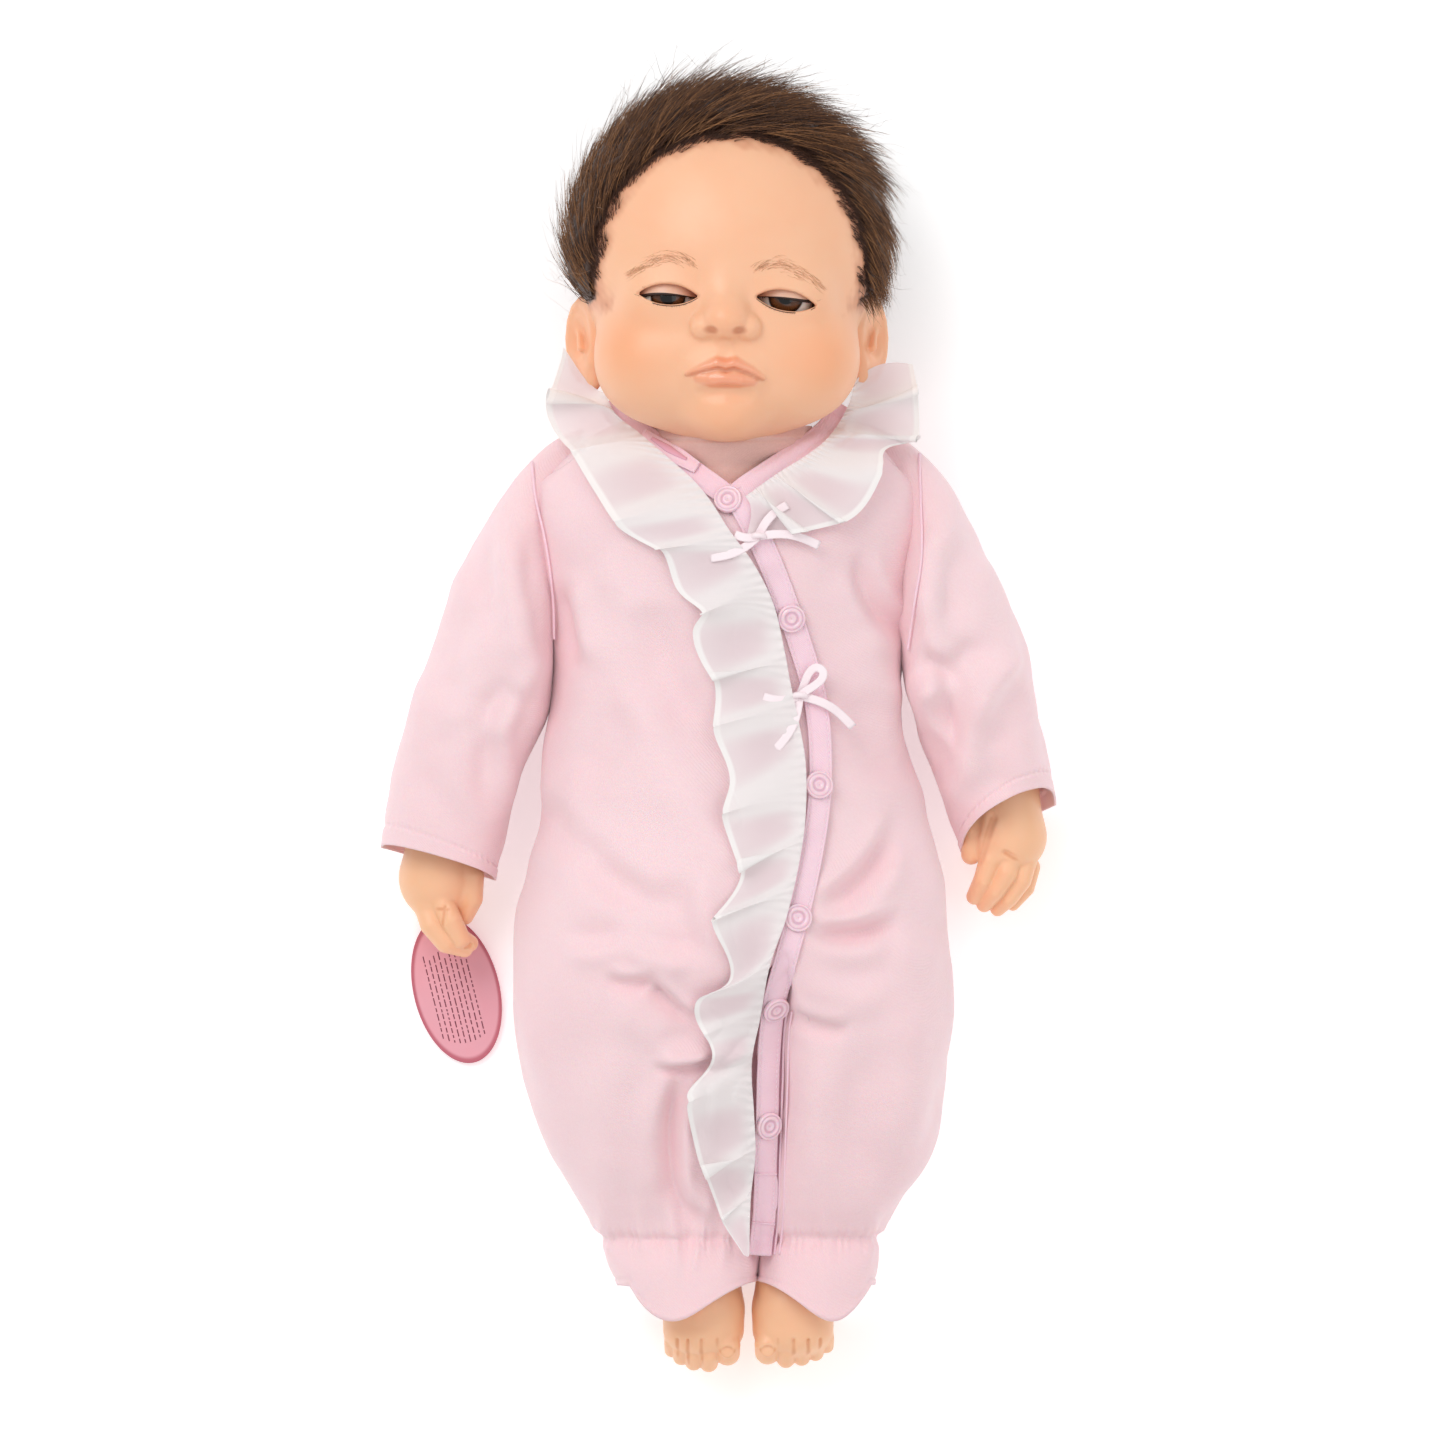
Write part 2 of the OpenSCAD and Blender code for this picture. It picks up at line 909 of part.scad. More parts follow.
module trouser_leg(side) {
    color("pink")
        intersection() {
            difference() {
                trouser_form(side, 0, 0);
                trouser_form(side, suit_wall, 1);
            }
            leg_room(side);
        }
}

module thigh(side) {
    $fn = SOFT_FN;
    start = hip_mid + side * (hip_seat + 3.2);
    color("mistyrose")
        difference() {
            hull() {
                translate([0, hip_y, hip_z])
                    along_x(start, start + side * 58, 31);
                limb_frame(knee(side), ankle(side))
                    along_y(-3, -0.4, 17);
            }
            translate([0, hip_y, hip_z])
                along_x(hip_mid, hip_mid + side * 26, post_r, $fn = 48);
        }
}

// Vinyl shin with its tie groove, heel, instep and the row of toes
module foot(side) {
    length = norm(ankle(side) - knee(side));
    color("navajowhite") {
        limb_frame(knee(side), ankle(side))
            turned_y([[0, 0], [15, 0], [15, 3], [12.5, 3], [12.5, 7], [15, 9],
                [16.5, 25], [13.5, length - 8], [13, length], [0, length]]);
        translate([ankle_x(side), ankle_y - 15, 24.5])
            scale([15.2, 17, 18])
                sphere(1);
        translate([ankle_x(side), ankle_y - 31, 28])
            scale([15.6, 13, 13])
                sphere(1);
        translate([ankle_x(side), ankle_y - 38, 30])
            scale([14, 9, 8])
                sphere(1);
    }
}

module hip_post(side) {
    start = hip_mid + side * 0.3;
    disc = hip_mid + side * (hip_seat + 0.6);
    color("whitesmoke")
        translate([0, hip_y, hip_z]) {
            along_x(start, start + side * 25, post_r);
            along_x(disc, disc + side * 2.4, 13);
        }
}

module leg_tie(side) {
    color("white")
        limb_frame(knee(side), ankle(side))
            limb_tie(12.5, 2);
}

// A thin strip down the front of the right leg, between two sideways places
LEG_LINE = [[-116, 81.5], [-150, 75.5], [-214, 50.5]];

module leg_strip(x0, x1, lift, thick) {
    for (i = [0, 1])
        hull()
            for (p = [LEG_LINE[i], LEG_LINE[i + 1]])
                translate([x0, p[0], p[1] + lift])
                    cube([x1 - x0, 1, thick]);
}

module placket_lower() {
    color("lightpink")
        leg_strip(-11.5, -3, 3, 1.2);
}

module snaps_lower() {
    color("thistle")
        for (at = [[-130, 84.3], [-156, 79.6]])
            translate([-7, at[0], at[1]])
                difference() {
                    cylinder(h = 1.6, r = 4);
                    translate([0, 0, 1])
                        cylinder(h = 1, r = 2.4);
                }
}

module ruffle_lower() {
    color("snow")
        leg_strip(-38, -12, 3, 1.2);
}

torso_stuffing();
body_cloth();
neck_cloth();
neck_cable_tie();
shoulder_washers();
hip_plate();
bodice();
placket_upper();
snaps_upper();
ruffle_upper();
bow_upper();
bow_lower();
back_closure();
front_housing();
rear_housing();
housing_screws();
battery_door();
battery_cells();
battery_contacts();
circuit_board();
speaker_frame();
speaker_cone();
breath_motor();
power_switch();
touch_button();
motor_pinion();
lift_gear();
breath_plate();
head_shell();
hair_cap();
eyeballs();
eye_carrier();
eye_motor();
eyelids();
lid_bar();
eye_pinion();
sleeve(-1);  // sleeve_right
sleeve(1);  // sleeve_left
upper_arm(-1);  // upper_arm_right
upper_arm(1);  // upper_arm_left
hand(-1);  // hand_right
hand(1);  // hand_left
shoulder_post(-1);  // shoulder_post_right
shoulder_post(1);  // shoulder_post_left
arm_tie(-1);  // arm_tie_right
arm_tie(1);  // arm_tie_left
hang_tag();
trouser_leg(-1);  // trouser_leg_right
trouser_leg(1);  // trouser_leg_left
thigh(-1);  // thigh_right
thigh(1);  // thigh_left
foot(-1);  // foot_right
foot(1);  // foot_left
hip_post(-1);  // hip_post_right
hip_post(1);  // hip_post_left
leg_tie(-1);  // leg_tie_right
leg_tie(1);  // leg_tie_left
placket_lower();
snaps_lower();
ruffle_lower();
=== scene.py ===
"""Interactive baby doll lying on its back: every visible piece and its look."""
import json
import math

import bpy
import numpy as np
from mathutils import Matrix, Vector


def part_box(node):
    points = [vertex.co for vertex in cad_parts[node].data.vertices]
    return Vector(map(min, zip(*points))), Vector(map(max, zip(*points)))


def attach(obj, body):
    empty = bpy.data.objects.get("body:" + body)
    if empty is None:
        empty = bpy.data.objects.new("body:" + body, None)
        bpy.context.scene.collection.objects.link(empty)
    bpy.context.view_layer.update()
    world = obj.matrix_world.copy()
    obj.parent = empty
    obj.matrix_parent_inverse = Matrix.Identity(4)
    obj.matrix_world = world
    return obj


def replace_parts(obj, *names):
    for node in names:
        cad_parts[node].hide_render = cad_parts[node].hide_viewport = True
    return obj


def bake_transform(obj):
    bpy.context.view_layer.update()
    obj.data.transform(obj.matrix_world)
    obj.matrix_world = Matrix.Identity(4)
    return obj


MM = 0.001
PI = math.pi

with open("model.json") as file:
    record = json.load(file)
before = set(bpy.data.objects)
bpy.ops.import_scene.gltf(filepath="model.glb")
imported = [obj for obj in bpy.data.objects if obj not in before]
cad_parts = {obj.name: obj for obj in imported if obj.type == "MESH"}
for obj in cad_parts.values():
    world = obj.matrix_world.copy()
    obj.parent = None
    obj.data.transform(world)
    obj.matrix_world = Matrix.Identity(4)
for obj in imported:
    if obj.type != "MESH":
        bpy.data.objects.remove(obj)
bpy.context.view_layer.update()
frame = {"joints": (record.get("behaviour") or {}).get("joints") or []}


# ---- numbers that follow from the frame -------------------------------------

def box_mm(node):
    low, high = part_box(node)
    return np.array(low) / MM, np.array(high) / MM


def joint_mm(name):
    found = [j for j in frame["joints"] if j["name"] == name]
    return np.array(found[0]["pos_m"]) / MM


EYES_LOW, EYES_HIGH = box_mm("eyeballs")
EYE_R = (EYES_HIGH[1] - EYES_LOW[1]) / 2
EYE_Y = (EYES_HIGH[1] + EYES_LOW[1]) / 2
EYE_Z = (EYES_HIGH[2] + EYES_LOW[2]) / 2
EYE_X = (EYES_HIGH[0] - EYES_LOW[0]) / 2 - EYE_R
NECK = joint_mm("head_turn")
BODICE_LOW, _ = box_mm("bodice")
CLOTH = 0.9          # thickness of the suit's cloth, and its lowest height over the floor


# ---- small numeric helpers ---------------------------------------------------

def smooth(x, low=0.0, high=1.0):
    t = np.clip((np.asarray(x, float) - low) / (high - low), 0, 1)
    return t * t * (3 - 2 * t)


def spline(points, t):
    """Points along a Catmull-Rom curve, with t from 0 to 1 by chord length."""
    p = np.asarray(points, float)
    if p.ndim == 1:
        p = p[:, None]
    step = np.linalg.norm(np.diff(p, axis=0), axis=1)
    knots = np.concatenate([[0], np.cumsum(np.maximum(step, 1e-9))])
    knots /= knots[-1]
    return knotted(knots, p, t)


def knotted(knots, values, t):
    """Values at t on a smooth curve through (knot, value) pairs."""
    k = np.asarray(knots, float)
    p = np.asarray(values, float)
    flat = p.ndim == 1
    if flat:
        p = p[:, None]
    slope = np.diff(p, axis=0) / np.diff(k)[:, None]
    tangent = np.vstack([slope[:1], (slope[:-1] + slope[1:]) / 2, slope[-1:]])
    t = np.asarray(t, float)
    shape = t.shape
    t = np.clip(t.ravel(), k[0], k[-1])
    i = np.clip(np.searchsorted(k, t, side="right") - 1, 0, len(k) - 2)
    h = (k[i + 1] - k[i])[:, None]
    u = ((t - k[i]) / (k[i + 1] - k[i]))[:, None]
    out = ((2 * u ** 3 - 3 * u ** 2 + 1) * p[i] + (u ** 3 - 2 * u ** 2 + u) * h * tangent[i]
           + (3 * u ** 2 - 2 * u ** 3) * p[i + 1] + (u ** 3 - u ** 2) * h * tangent[i + 1])
    return out[:, 0].reshape(shape) if flat else out


def unit(v):
    return v / np.maximum(np.linalg.norm(v, axis=-1, keepdims=True), 1e-12)


def ripple(p, seed, size, count=9):
    """Smooth noise from -1 to 1 at points p: waves of about that size in mm."""
    rng = np.random.default_rng(seed)
    total = np.zeros(len(p))
    for _ in range(count):
        way = unit(rng.normal(size=p.shape[1]))
        total += np.sin(p @ way * (2 * PI / (size * rng.uniform(0.7, 1.5)))
                        + rng.uniform(0, 2 * PI))
    return total / math.sqrt(count)


# ---- meshes ------------------------------------------------------------------

def mesh_object(name, verts_mm, faces, material, body=None):
    mesh = bpy.data.meshes.new(name)
    verts = np.asarray(verts_mm, float) * MM
    mesh.from_pydata(verts.tolist(), [], faces if isinstance(faces, list) else faces.tolist())
    mesh.update()
    mesh.shade_smooth()
    mesh.materials.append(material)
    obj = bpy.data.objects.new(name, mesh)
    bpy.context.scene.collection.objects.link(obj)
    if body:
        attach(obj, body)
    return obj


def thicken(obj, thickness_mm, offset):
    """Turns a single sheet into one of that thickness: offset -1 keeps it as the outside."""
    solid = obj.modifiers.new("thickness", "SOLIDIFY")
    solid.thickness = thickness_mm * MM
    solid.offset = offset


def with_legs(obj):
    """Bakes the placement of a piece that crosses the hips into its mesh."""
    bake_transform(obj)


def paint(obj, name, values):
    """Stores one value per vertex for the material to read."""
    layer = obj.data.attributes.new(name, "FLOAT", "POINT")
    layer.data.foreach_set("value", np.asarray(values, np.float32))


def positions_mm(mesh):
    co = np.zeros(len(mesh.vertices) * 3)
    mesh.vertices.foreach_get("co", co)
    return co.reshape(-1, 3) / MM


def grid_faces(rows, cols, wrap_cols=False):
    c = np.arange(cols if wrap_cols else cols - 1)
    i, j = np.meshgrid(np.arange(rows - 1), c, indexing="ij")
    i2, j2 = i + 1, (j + 1) % cols
    quads = np.stack([i * cols + j, i * cols + j2, i2 * cols + j2, i2 * cols + j], -1)
    return quads.reshape(-1, 4)


def tube_normals(grid):
    """Normals at the points of a tube's grid, all pointing away from its middle line."""
    around = (np.roll(grid, -1, 1) - np.roll(grid, 1, 1)) / 2
    normal = unit(np.cross(np.gradient(grid, axis=0), around)).reshape(-1, 3)
    middle = np.repeat(grid.mean(1), grid.shape[1], axis=0)
    outward = np.sum(normal * (grid.reshape(-1, 3) - middle), 1)
    return -normal if np.mean(outward) < 0 else normal


def tube_mesh(path, radii, sides=8, squash=1.0):
    """Vertices and faces of a closed tube along a path, with a radius at each point."""
    path = np.asarray(path, float)
    tangent = unit(np.gradient(path, axis=0))
    up = np.array([0.0, 0, 1])
    side = unit(np.cross(tangent, up) + 1e-9)
    over = np.cross(side, tangent)
    a = np.arange(sides) * 2 * PI / sides
    r = np.broadcast_to(radii, len(path))[:, None, None]
    ring = (path[:, None] + r * (np.cos(a)[None, :, None] * side[:, None]
            + squash * np.sin(a)[None, :, None] * over[:, None]))
    verts = ring.reshape(-1, 3)
    faces = grid_faces(len(path), sides, wrap_cols=True).tolist()
    faces.append(list(range(sides))[::-1])
    last = (len(path) - 1) * sides
    faces.append(list(range(last, last + sides)))
    return verts, faces


def joined(parts):
    verts, faces, base = [], [], 0
    for v, f in parts:
        verts.append(v)
        faces += [[i + base for i in face] for face in f]
        base += len(v)
    return np.vstack(verts), faces


# ---- sculpting by distance fields ---------------------------------------------

def ellipsoid(centre, radii, turn=None):
    c, r = np.array(centre, float), np.array(radii, float)

    def distance(p):
        q = (p - c) if turn is None else (p - c) @ turn
        k0 = np.linalg.norm(q / r, axis=1)
        k1 = np.linalg.norm(q / (r * r), axis=1)
        return k0 * (k0 - 1) / np.maximum(k1, 1e-9)
    return distance


def capsule(a, b, ra, rb=None):
    a, b = np.array(a, float), np.array(b, float)
    rb = ra if rb is None else rb

    def distance(p):
        d = b - a
        t = np.clip((p - a) @ d / max(d @ d, 1e-9), 0, 1)
        return np.linalg.norm(p - a - t[:, None] * d, axis=1) - (ra + (rb - ra) * t)
    return distance


def chain(points, radii):
    """A bent finger or fold: capsules end to end, as one distance."""
    links = [capsule(points[i], points[i + 1], radii[i], radii[i + 1])
             for i in range(len(points) - 1)]
    return lambda p: np.min([f(p) for f in links], axis=0)


def smooth_min(a, b, k):
    if k <= 0:
        return np.minimum(a, b)
    h = np.clip(0.5 + 0.5 * (b - a) / k, 0, 1)
    return b + (a - b) * h - k * h * (1 - h)


def sculpture(steps):
    """One distance from ("add" or "cut", shape, softness) steps, in order."""
    def distance(p):
        d = np.full(len(p), 1e3)
        for kind, shape, k in steps:
            if kind == "add":
                d = smooth_min(d, shape(p), k)
            else:
                d = -smooth_min(-d, shape(p), k)
        return d
    return distance


def neighbours(field, axis):
    """A field without its last layer and without its first one, along an axis."""
    first, second = [slice(None)] * 3, [slice(None)] * 3
    first[axis], second[axis] = slice(0, -1), slice(1, None)
    return field[tuple(first)], field[tuple(second)]


def surface_net(distance, low, high, step):
    """Quads on the zero surface of a distance field."""
    axes = [np.arange(a, b + step, step) for a, b in zip(low, high)]
    shape = tuple(len(a) for a in axes)
    value = np.empty(shape)
    yy, zz = np.meshgrid(axes[1], axes[2], indexing="ij")
    layer = np.stack([np.zeros(yy.size), yy.ravel(), zz.ravel()], 1)
    for i, x in enumerate(axes[0]):
        layer[:, 0] = x
        value[i] = distance(layer).reshape(shape[1:])
    inside = value < 0
    cell = tuple(n - 1 for n in shape)
    total = np.zeros(cell + (3,))
    count = np.zeros(cell)
    for axis in range(3):
        a, b = neighbours(value, axis)
        cross = np.not_equal(*neighbours(inside, axis))
        t = np.where(cross, a / np.where(cross, a - b, 1), 0)
        others = [k for k in range(3) if k != axis]
        for i in (0, 1):
            for j in (0, 1):
                cut = [slice(None)] * 3
                cut[others[0]] = slice(i, i + cell[others[0]])
                cut[others[1]] = slice(j, j + cell[others[1]])
                hit = cross[tuple(cut)]
                total[..., axis] += np.where(hit, t[tuple(cut)], 0)
                total[..., others[0]] += np.where(hit, i, 0)
                total[..., others[1]] += np.where(hit, j, 0)
                count += hit
    active = count > 0
    index = np.full(cell, -1)
    index[active] = np.arange(active.sum())
    where = np.argwhere(active)
    verts = (where + total[active] / count[active][:, None]) * step + np.array(low)
    faces = []
    for axis in range(3):
        u, v = (axis + 1) % 3, (axis + 2) % 3
        change = np.subtract(*neighbours(inside.astype(int), axis))
        spots = np.argwhere(change != 0)
        spots = spots[(spots[:, u] > 0) & (spots[:, v] > 0)
                      & (spots[:, u] < cell[u]) & (spots[:, v] < cell[v])]
        sign = change[tuple(spots.T)]
        corner = []
        for du, dv in ((1, 1), (0, 1), (0, 0), (1, 0)):
            c = spots.copy()
            c[:, u] -= du
            c[:, v] -= dv
            corner.append(index[tuple(c.T)])
        quad = np.stack(corner, 1)
        faces.append(np.where(sign[:, None] > 0, quad, quad[:, ::-1]))
    return verts, np.vstack(faces)


def slope_of(distance, p):
    h = 0.15
    out = np.empty_like(p)
    for k in range(3):
        d = np.zeros(3)
        d[k] = h
        out[:, k] = (distance(p + d) - distance(p - d)) / (2 * h)
    return out


def settle(distance, p):
    """Moves points onto the zero surface, by at most 1 mm at a time."""
    for _ in range(3):
        g = slope_of(distance, p)
        move = (distance(p) / np.maximum((g * g).sum(1), 0.2))[:, None] * g
        p = p - np.clip(move, -1.0, 1.0)
    return p


def sculpt(name, distance, low, high, step, material, body):
    """A sculpted piece: a coarse net, subdivided and drawn onto the true surface."""
    verts, faces = surface_net(distance, low, high, step)
    obj = mesh_object(name, settle(distance, verts), faces, material)
    mod = obj.modifiers.new("fine", "SUBSURF")
    mod.subdivision_type = "SIMPLE"
    mod.levels = 1
    done = bpy.data.meshes.new_from_object(
        obj.evaluated_get(bpy.context.evaluated_depsgraph_get()))
    obj.modifiers.clear()
    obj.data = done
    done.vertices.foreach_set("co", (settle(distance, positions_mm(done)) * MM).ravel())
    done.update()
    done.shade_smooth()
    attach(obj, body)
    return obj


# ---- materials -----------------------------------------------------------------

def linear(rgb):
    c = np.array(rgb, float) / 255
    return tuple(np.where(c <= 0.04045, c / 12.92, ((c + 0.055) / 1.055) ** 2.4)) + (1.0,)


class Look:
    """One procedural material, built up in layers on a Principled shader."""

    def __init__(self, name, rgb, rough, **sockets):
        self.mat = bpy.data.materials.new(name)
        self.mat.use_nodes = True
        self.tree = self.mat.node_tree
        self.shader = self.tree.nodes["Principled BSDF"]
        self.shader.inputs["Base Color"].default_value = linear(rgb)
        self.shader.inputs["Roughness"].default_value = rough
        for key, value in sockets.items():
            self.shader.inputs[key.replace("_", " ")].default_value = value
        self.colour = None
        self.height = None
        self.space = self.node("ShaderNodeTexCoord").outputs["Object"]

    def node(self, kind, **settings):
        made = self.tree.nodes.new(kind)
        for key, value in settings.items():
            setattr(made, key, value)
        return made

    def link(self, a, b):
        self.tree.links.new(a, b)

    def noise(self, scale, detail):
        tex = self.node("ShaderNodeTexNoise")
        tex.inputs["Scale"].default_value = scale
        tex.inputs["Detail"].default_value = detail
        self.link(self.space, tex.inputs["Vector"])
        return tex.outputs["Fac"]

    def wave(self, scale, direction, distort):
        tex = self.node("ShaderNodeTexWave", bands_direction=direction)
        tex.inputs["Scale"].default_value = scale
        tex.inputs["Distortion"].default_value = distort
        self.link(self.space, tex.inputs["Vector"])
        return tex.outputs["Fac"]

    def value(self, name):
        got = self.node("ShaderNodeAttribute", attribute_name=name)
        return got.outputs["Fac"]

    def over(self, factor, rgb, strength=1.0, low=0.0, high=1.0):
        """Lays a colour over what is there, by a factor from 0 to 1."""
        reach = self.node("ShaderNodeMapRange", clamp=True)
        reach.inputs["From Min"].default_value = low
        reach.inputs["From Max"].default_value = high
        reach.inputs["To Max"].default_value = strength
        self.link(factor, reach.inputs["Value"])
        mix = self.node("ShaderNodeMix", data_type="RGBA")
        self.link(reach.outputs["Result"], mix.inputs[0])
        if self.colour is None:
            mix.inputs[6].default_value = self.shader.inputs["Base Color"].default_value
        else:
            self.link(self.colour, mix.inputs[6])
        mix.inputs[7].default_value = linear(rgb)
        self.colour = mix.outputs[2]
        self.link(self.colour, self.shader.inputs["Base Color"])
        return self

    def bump(self, factor, depth_mm):
        knock = self.node("ShaderNodeBump")
        knock.inputs["Strength"].default_value = 1.0
        knock.inputs["Distance"].default_value = depth_mm * MM
        self.link(factor, knock.inputs["Height"])
        if self.height is not None:
            self.link(self.height, knock.inputs["Normal"])
        self.height = knock.outputs["Normal"]
        self.link(self.height, self.shader.inputs["Normal"])
        return self

    def rough_by(self, factor, low, high):
        reach = self.node("ShaderNodeMapRange")
        reach.inputs["To Min"].default_value = low
        reach.inputs["To Max"].default_value = high
        self.link(factor, reach.inputs["Value"])
        self.link(reach.outputs["Result"], self.shader.inputs["Roughness"])
        return self


def grained(name, rgb, rough, scale, detail, depth_mm, **sockets):
    """One even colour with a fine grain."""
    look = Look(name, rgb, rough, **sockets)
    return look.bump(look.noise(scale, detail), depth_mm)


def knit(name, rgb, shade, fine=1.0):
    look = Look(name, rgb, 0.85, Sheen_Weight=0.35, Sheen_Roughness=0.5,
                Subsurface_Weight=0.12, Subsurface_Scale=2.5 * MM)
    look.over(look.noise(14, 3), shade, 0.35, 0.35, 0.75)
    look.over(look.noise(1300 * fine, 2), shade, 0.28, 0.35, 0.75)
    look.bump(look.wave(520 * fine, "DIAGONAL", 0.6), 0.05)
    look.bump(look.noise(1500 * fine, 2), 0.09)
    return look


def vinyl(name, rgb, blush):
    look = Look(name, rgb, 0.38, Subsurface_Weight=0.22, Subsurface_Scale=3.5 * MM,
                Coat_Weight=0.12, Coat_Roughness=0.35)
    look.shader.inputs["Subsurface Radius"].default_value = (1.0, 0.45, 0.25)
    look.over(look.noise(55, 2), blush, 0.16, 0.4, 0.7)
    look.bump(look.noise(900, 2), 0.02)
    look.rough_by(look.noise(160, 3), 0.33, 0.46)
    return look


PINK = (248, 216, 220)
PINK_SHADE = (241, 198, 204)
suit_look = knit("pink_knit", PINK, PINK_SHADE)
band_look = knit("pink_binding", (250, 216, 227), (243, 198, 213), 1.4)
neck_look = knit("rose_body_cloth", (233, 192, 182), (208, 158, 150), 1.2)
stitch_look = grained("stitch_thread", (250, 230, 236), 0.7, 2400, 2, 0.05, Sheen_Weight=0.4)
# seam_shadow: a darker pink laid in gaps under the trim as painted shadow
seam_shadow_look = grained("seam_shadow", (226, 170, 188), 0.9, 1800, 2, 0.05, Sheen_Weight=0.2)
ribbon_look = grained("satin_ribbon", (252, 236, 240), 0.5, 1700, 2, 0.12, Sheen_Weight=0.4)
brow_look = grained("fine_brown_hair", (70, 42, 28), 0.5, 900, 1, 0.03)
lash_look = grained("lash_brown", (46, 26, 18), 0.55, 900, 1, 0.03)
soft_brow = grained("brow_hair", (206, 156, 118), 0.55, 900, 1, 0.03)

sheer_look = Look("sheer_ruffle", (252, 247, 246), 0.7, Sheen_Weight=0.5)
sheer_look.over(sheer_look.noise(30, 2), (249, 236, 238), 0.3, 0.4, 0.75)
# Painted shade: a darker pink in the low folds of the pleats
sheer_look.over(sheer_look.value("pleat_valley_shade"), (240, 216, 221), 0.75)
sheer_look.bump(sheer_look.wave(1100, "X", 1.5), 0.04)
sheer_look.bump(sheer_look.wave(1100, "Y", 1.5), 0.04)
snap_look = Look("snap_plastic_pink", (244, 212, 222), 0.25, Subsurface_Weight=0.3,
                 Subsurface_Scale=1.5 * MM, Coat_Weight=0.5, Coat_Roughness=0.1)
# Painted shade in the snap's ring grooves and its middle dimple
snap_look.over(snap_look.value("groove"), (220, 172, 190), 0.8)
snap_look.bump(snap_look.noise(500, 2), 0.02)

skin_look = vinyl("vinyl_face", (245, 190, 153), (240, 166, 124))
skin_look.over(skin_look.value("blush"), (243, 160, 112), 0.55)
skin_look.over(skin_look.value("lips"), (238, 146, 108), 0.85)
# Painted shade: darker skin along the mouth line, in the nostrils, at the rims of the eye openings
# and round the eye sockets
skin_look.over(skin_look.value("crease_shade"), (190, 105, 66), 0.7)
limb_look = vinyl("vinyl_limb", (248, 194, 154), (240, 172, 128))
# Painted shade along the creases of the fingers and toes, and round the big toe's nail
limb_look.over(limb_look.value("crease_shade"), (214, 134, 84), 0.8)
lid_look = vinyl("vinyl_lid", (240, 186, 160), (228, 158, 130))


# ---- the romper ------------------------------------------------------------------
# Plan lines of the suit in mm: the sides, the front opening and the ends.

Y_ROWS = [118, 108, 100, 80, 31, 8, -4, -15, -27, -38, -50, -62, -73, -85, -96, -108, -119,
          -131, -142, -154, -166, -177, -189, -200, -212, -223, -236]
RIGHT_EDGE = [-42, -62, -71, -77, -69, -68, -69, -70, -71, -72, -75, -77, -80, -81.5, -82,
              -82.3, -81, -79, -77, -74, -69, -62.5, -56, -49, -45, -39, -34]
LEFT_EDGE = [42, 62, 71, 77, 68.5, 67, 67.5, 70, 75, 77, 80, 84, 85.3, 86.3, 87, 87.3, 87,
             85.5, 84, 82, 78.5, 73, 65.5, 60, 58.5, 57, 54]
OPENING = [[118, -6], [90.5, 1.5], [69, 12.7], [39, 24.6], [8, 33.9], [-25, 35.8],
           [-50, 32.7], [-76, 27], [-100, 20.4], [-116, 17], [-140, 16], [-170, 15],
           [-190, 14.5], [-205, 13], [-216, 11.6], [-236, 9]]
LEG_TOPS = [[-88, 87], [-128, 81], [-150, 74], [-168, 66], [-185, 57], [-200, 47.5],
            [-212, 51], [-236, 54]]
LEG_DEPTHS = [[-88, 44], [-128, 40], [-150, 36.5], [-168, 32], [-185, 27.5], [-200, 22.5],
              [-212, 24.5], [-236, 27]]
TORSO_MID = 43.0
TORSO_FLAT = 0.64
CROTCH = (80.0, 128.0)        # where the trunk turns into legs, as -y
SUIT_TOP, SUIT_END = 112.0, -222.0
ANKLE = -200.0
SHARES = (0.43, 0.36, 0.21)   # of a half's points: front, back and the wall at the opening


def by_y(table, y):
    t = np.array(table, float)[::-1]
    return knotted(t[:, 0], t[:, 1], y)


def edge_x(side, y):
    xs = RIGHT_EDGE if side < 0 else LEFT_EDGE
    return knotted(Y_ROWS[::-1], xs[::-1], y)


def opening_x(y):
    return by_y(OPENING, y)


def chest_top(x, y):
    mid = 0.5 * (edge_x(1, y) + edge_x(-1, y))
    half = 0.5 * (edge_x(1, y) - edge_x(-1, y)) + 2.0
    q = np.clip((x - mid) / half, -1, 1)
    rise = 1 - 0.22 * smooth(y, 70, 118)
    return TORSO_MID + TORSO_FLAT * half * rise * np.sqrt(1 - q * q)


def leg_top(x, y):
    side = np.where(x < opening_x(y), -1, 1)
    outer = np.where(side < 0, edge_x(-1, y), edge_x(1, y))
    inner = opening_x(y)
    mid, half = (outer + inner) / 2, np.abs(outer - inner) / 2
    q = np.clip((x - mid) / half, -1, 1)
    depth = by_y(LEG_DEPTHS, y)
    return by_y(LEG_TOPS, y) - depth + depth * (1 - np.abs(q) ** 2.3) ** (1 / 2.3)


def front_z(x, y):
    """Height of the smooth front of the suit over a place in plan."""
    x, y = np.broadcast_arrays(np.asarray(x, float), np.asarray(y, float))
    w = smooth(-y, *CROTCH)
    return (1 - w) * chest_top(x, y) + w * leg_top(x, y)


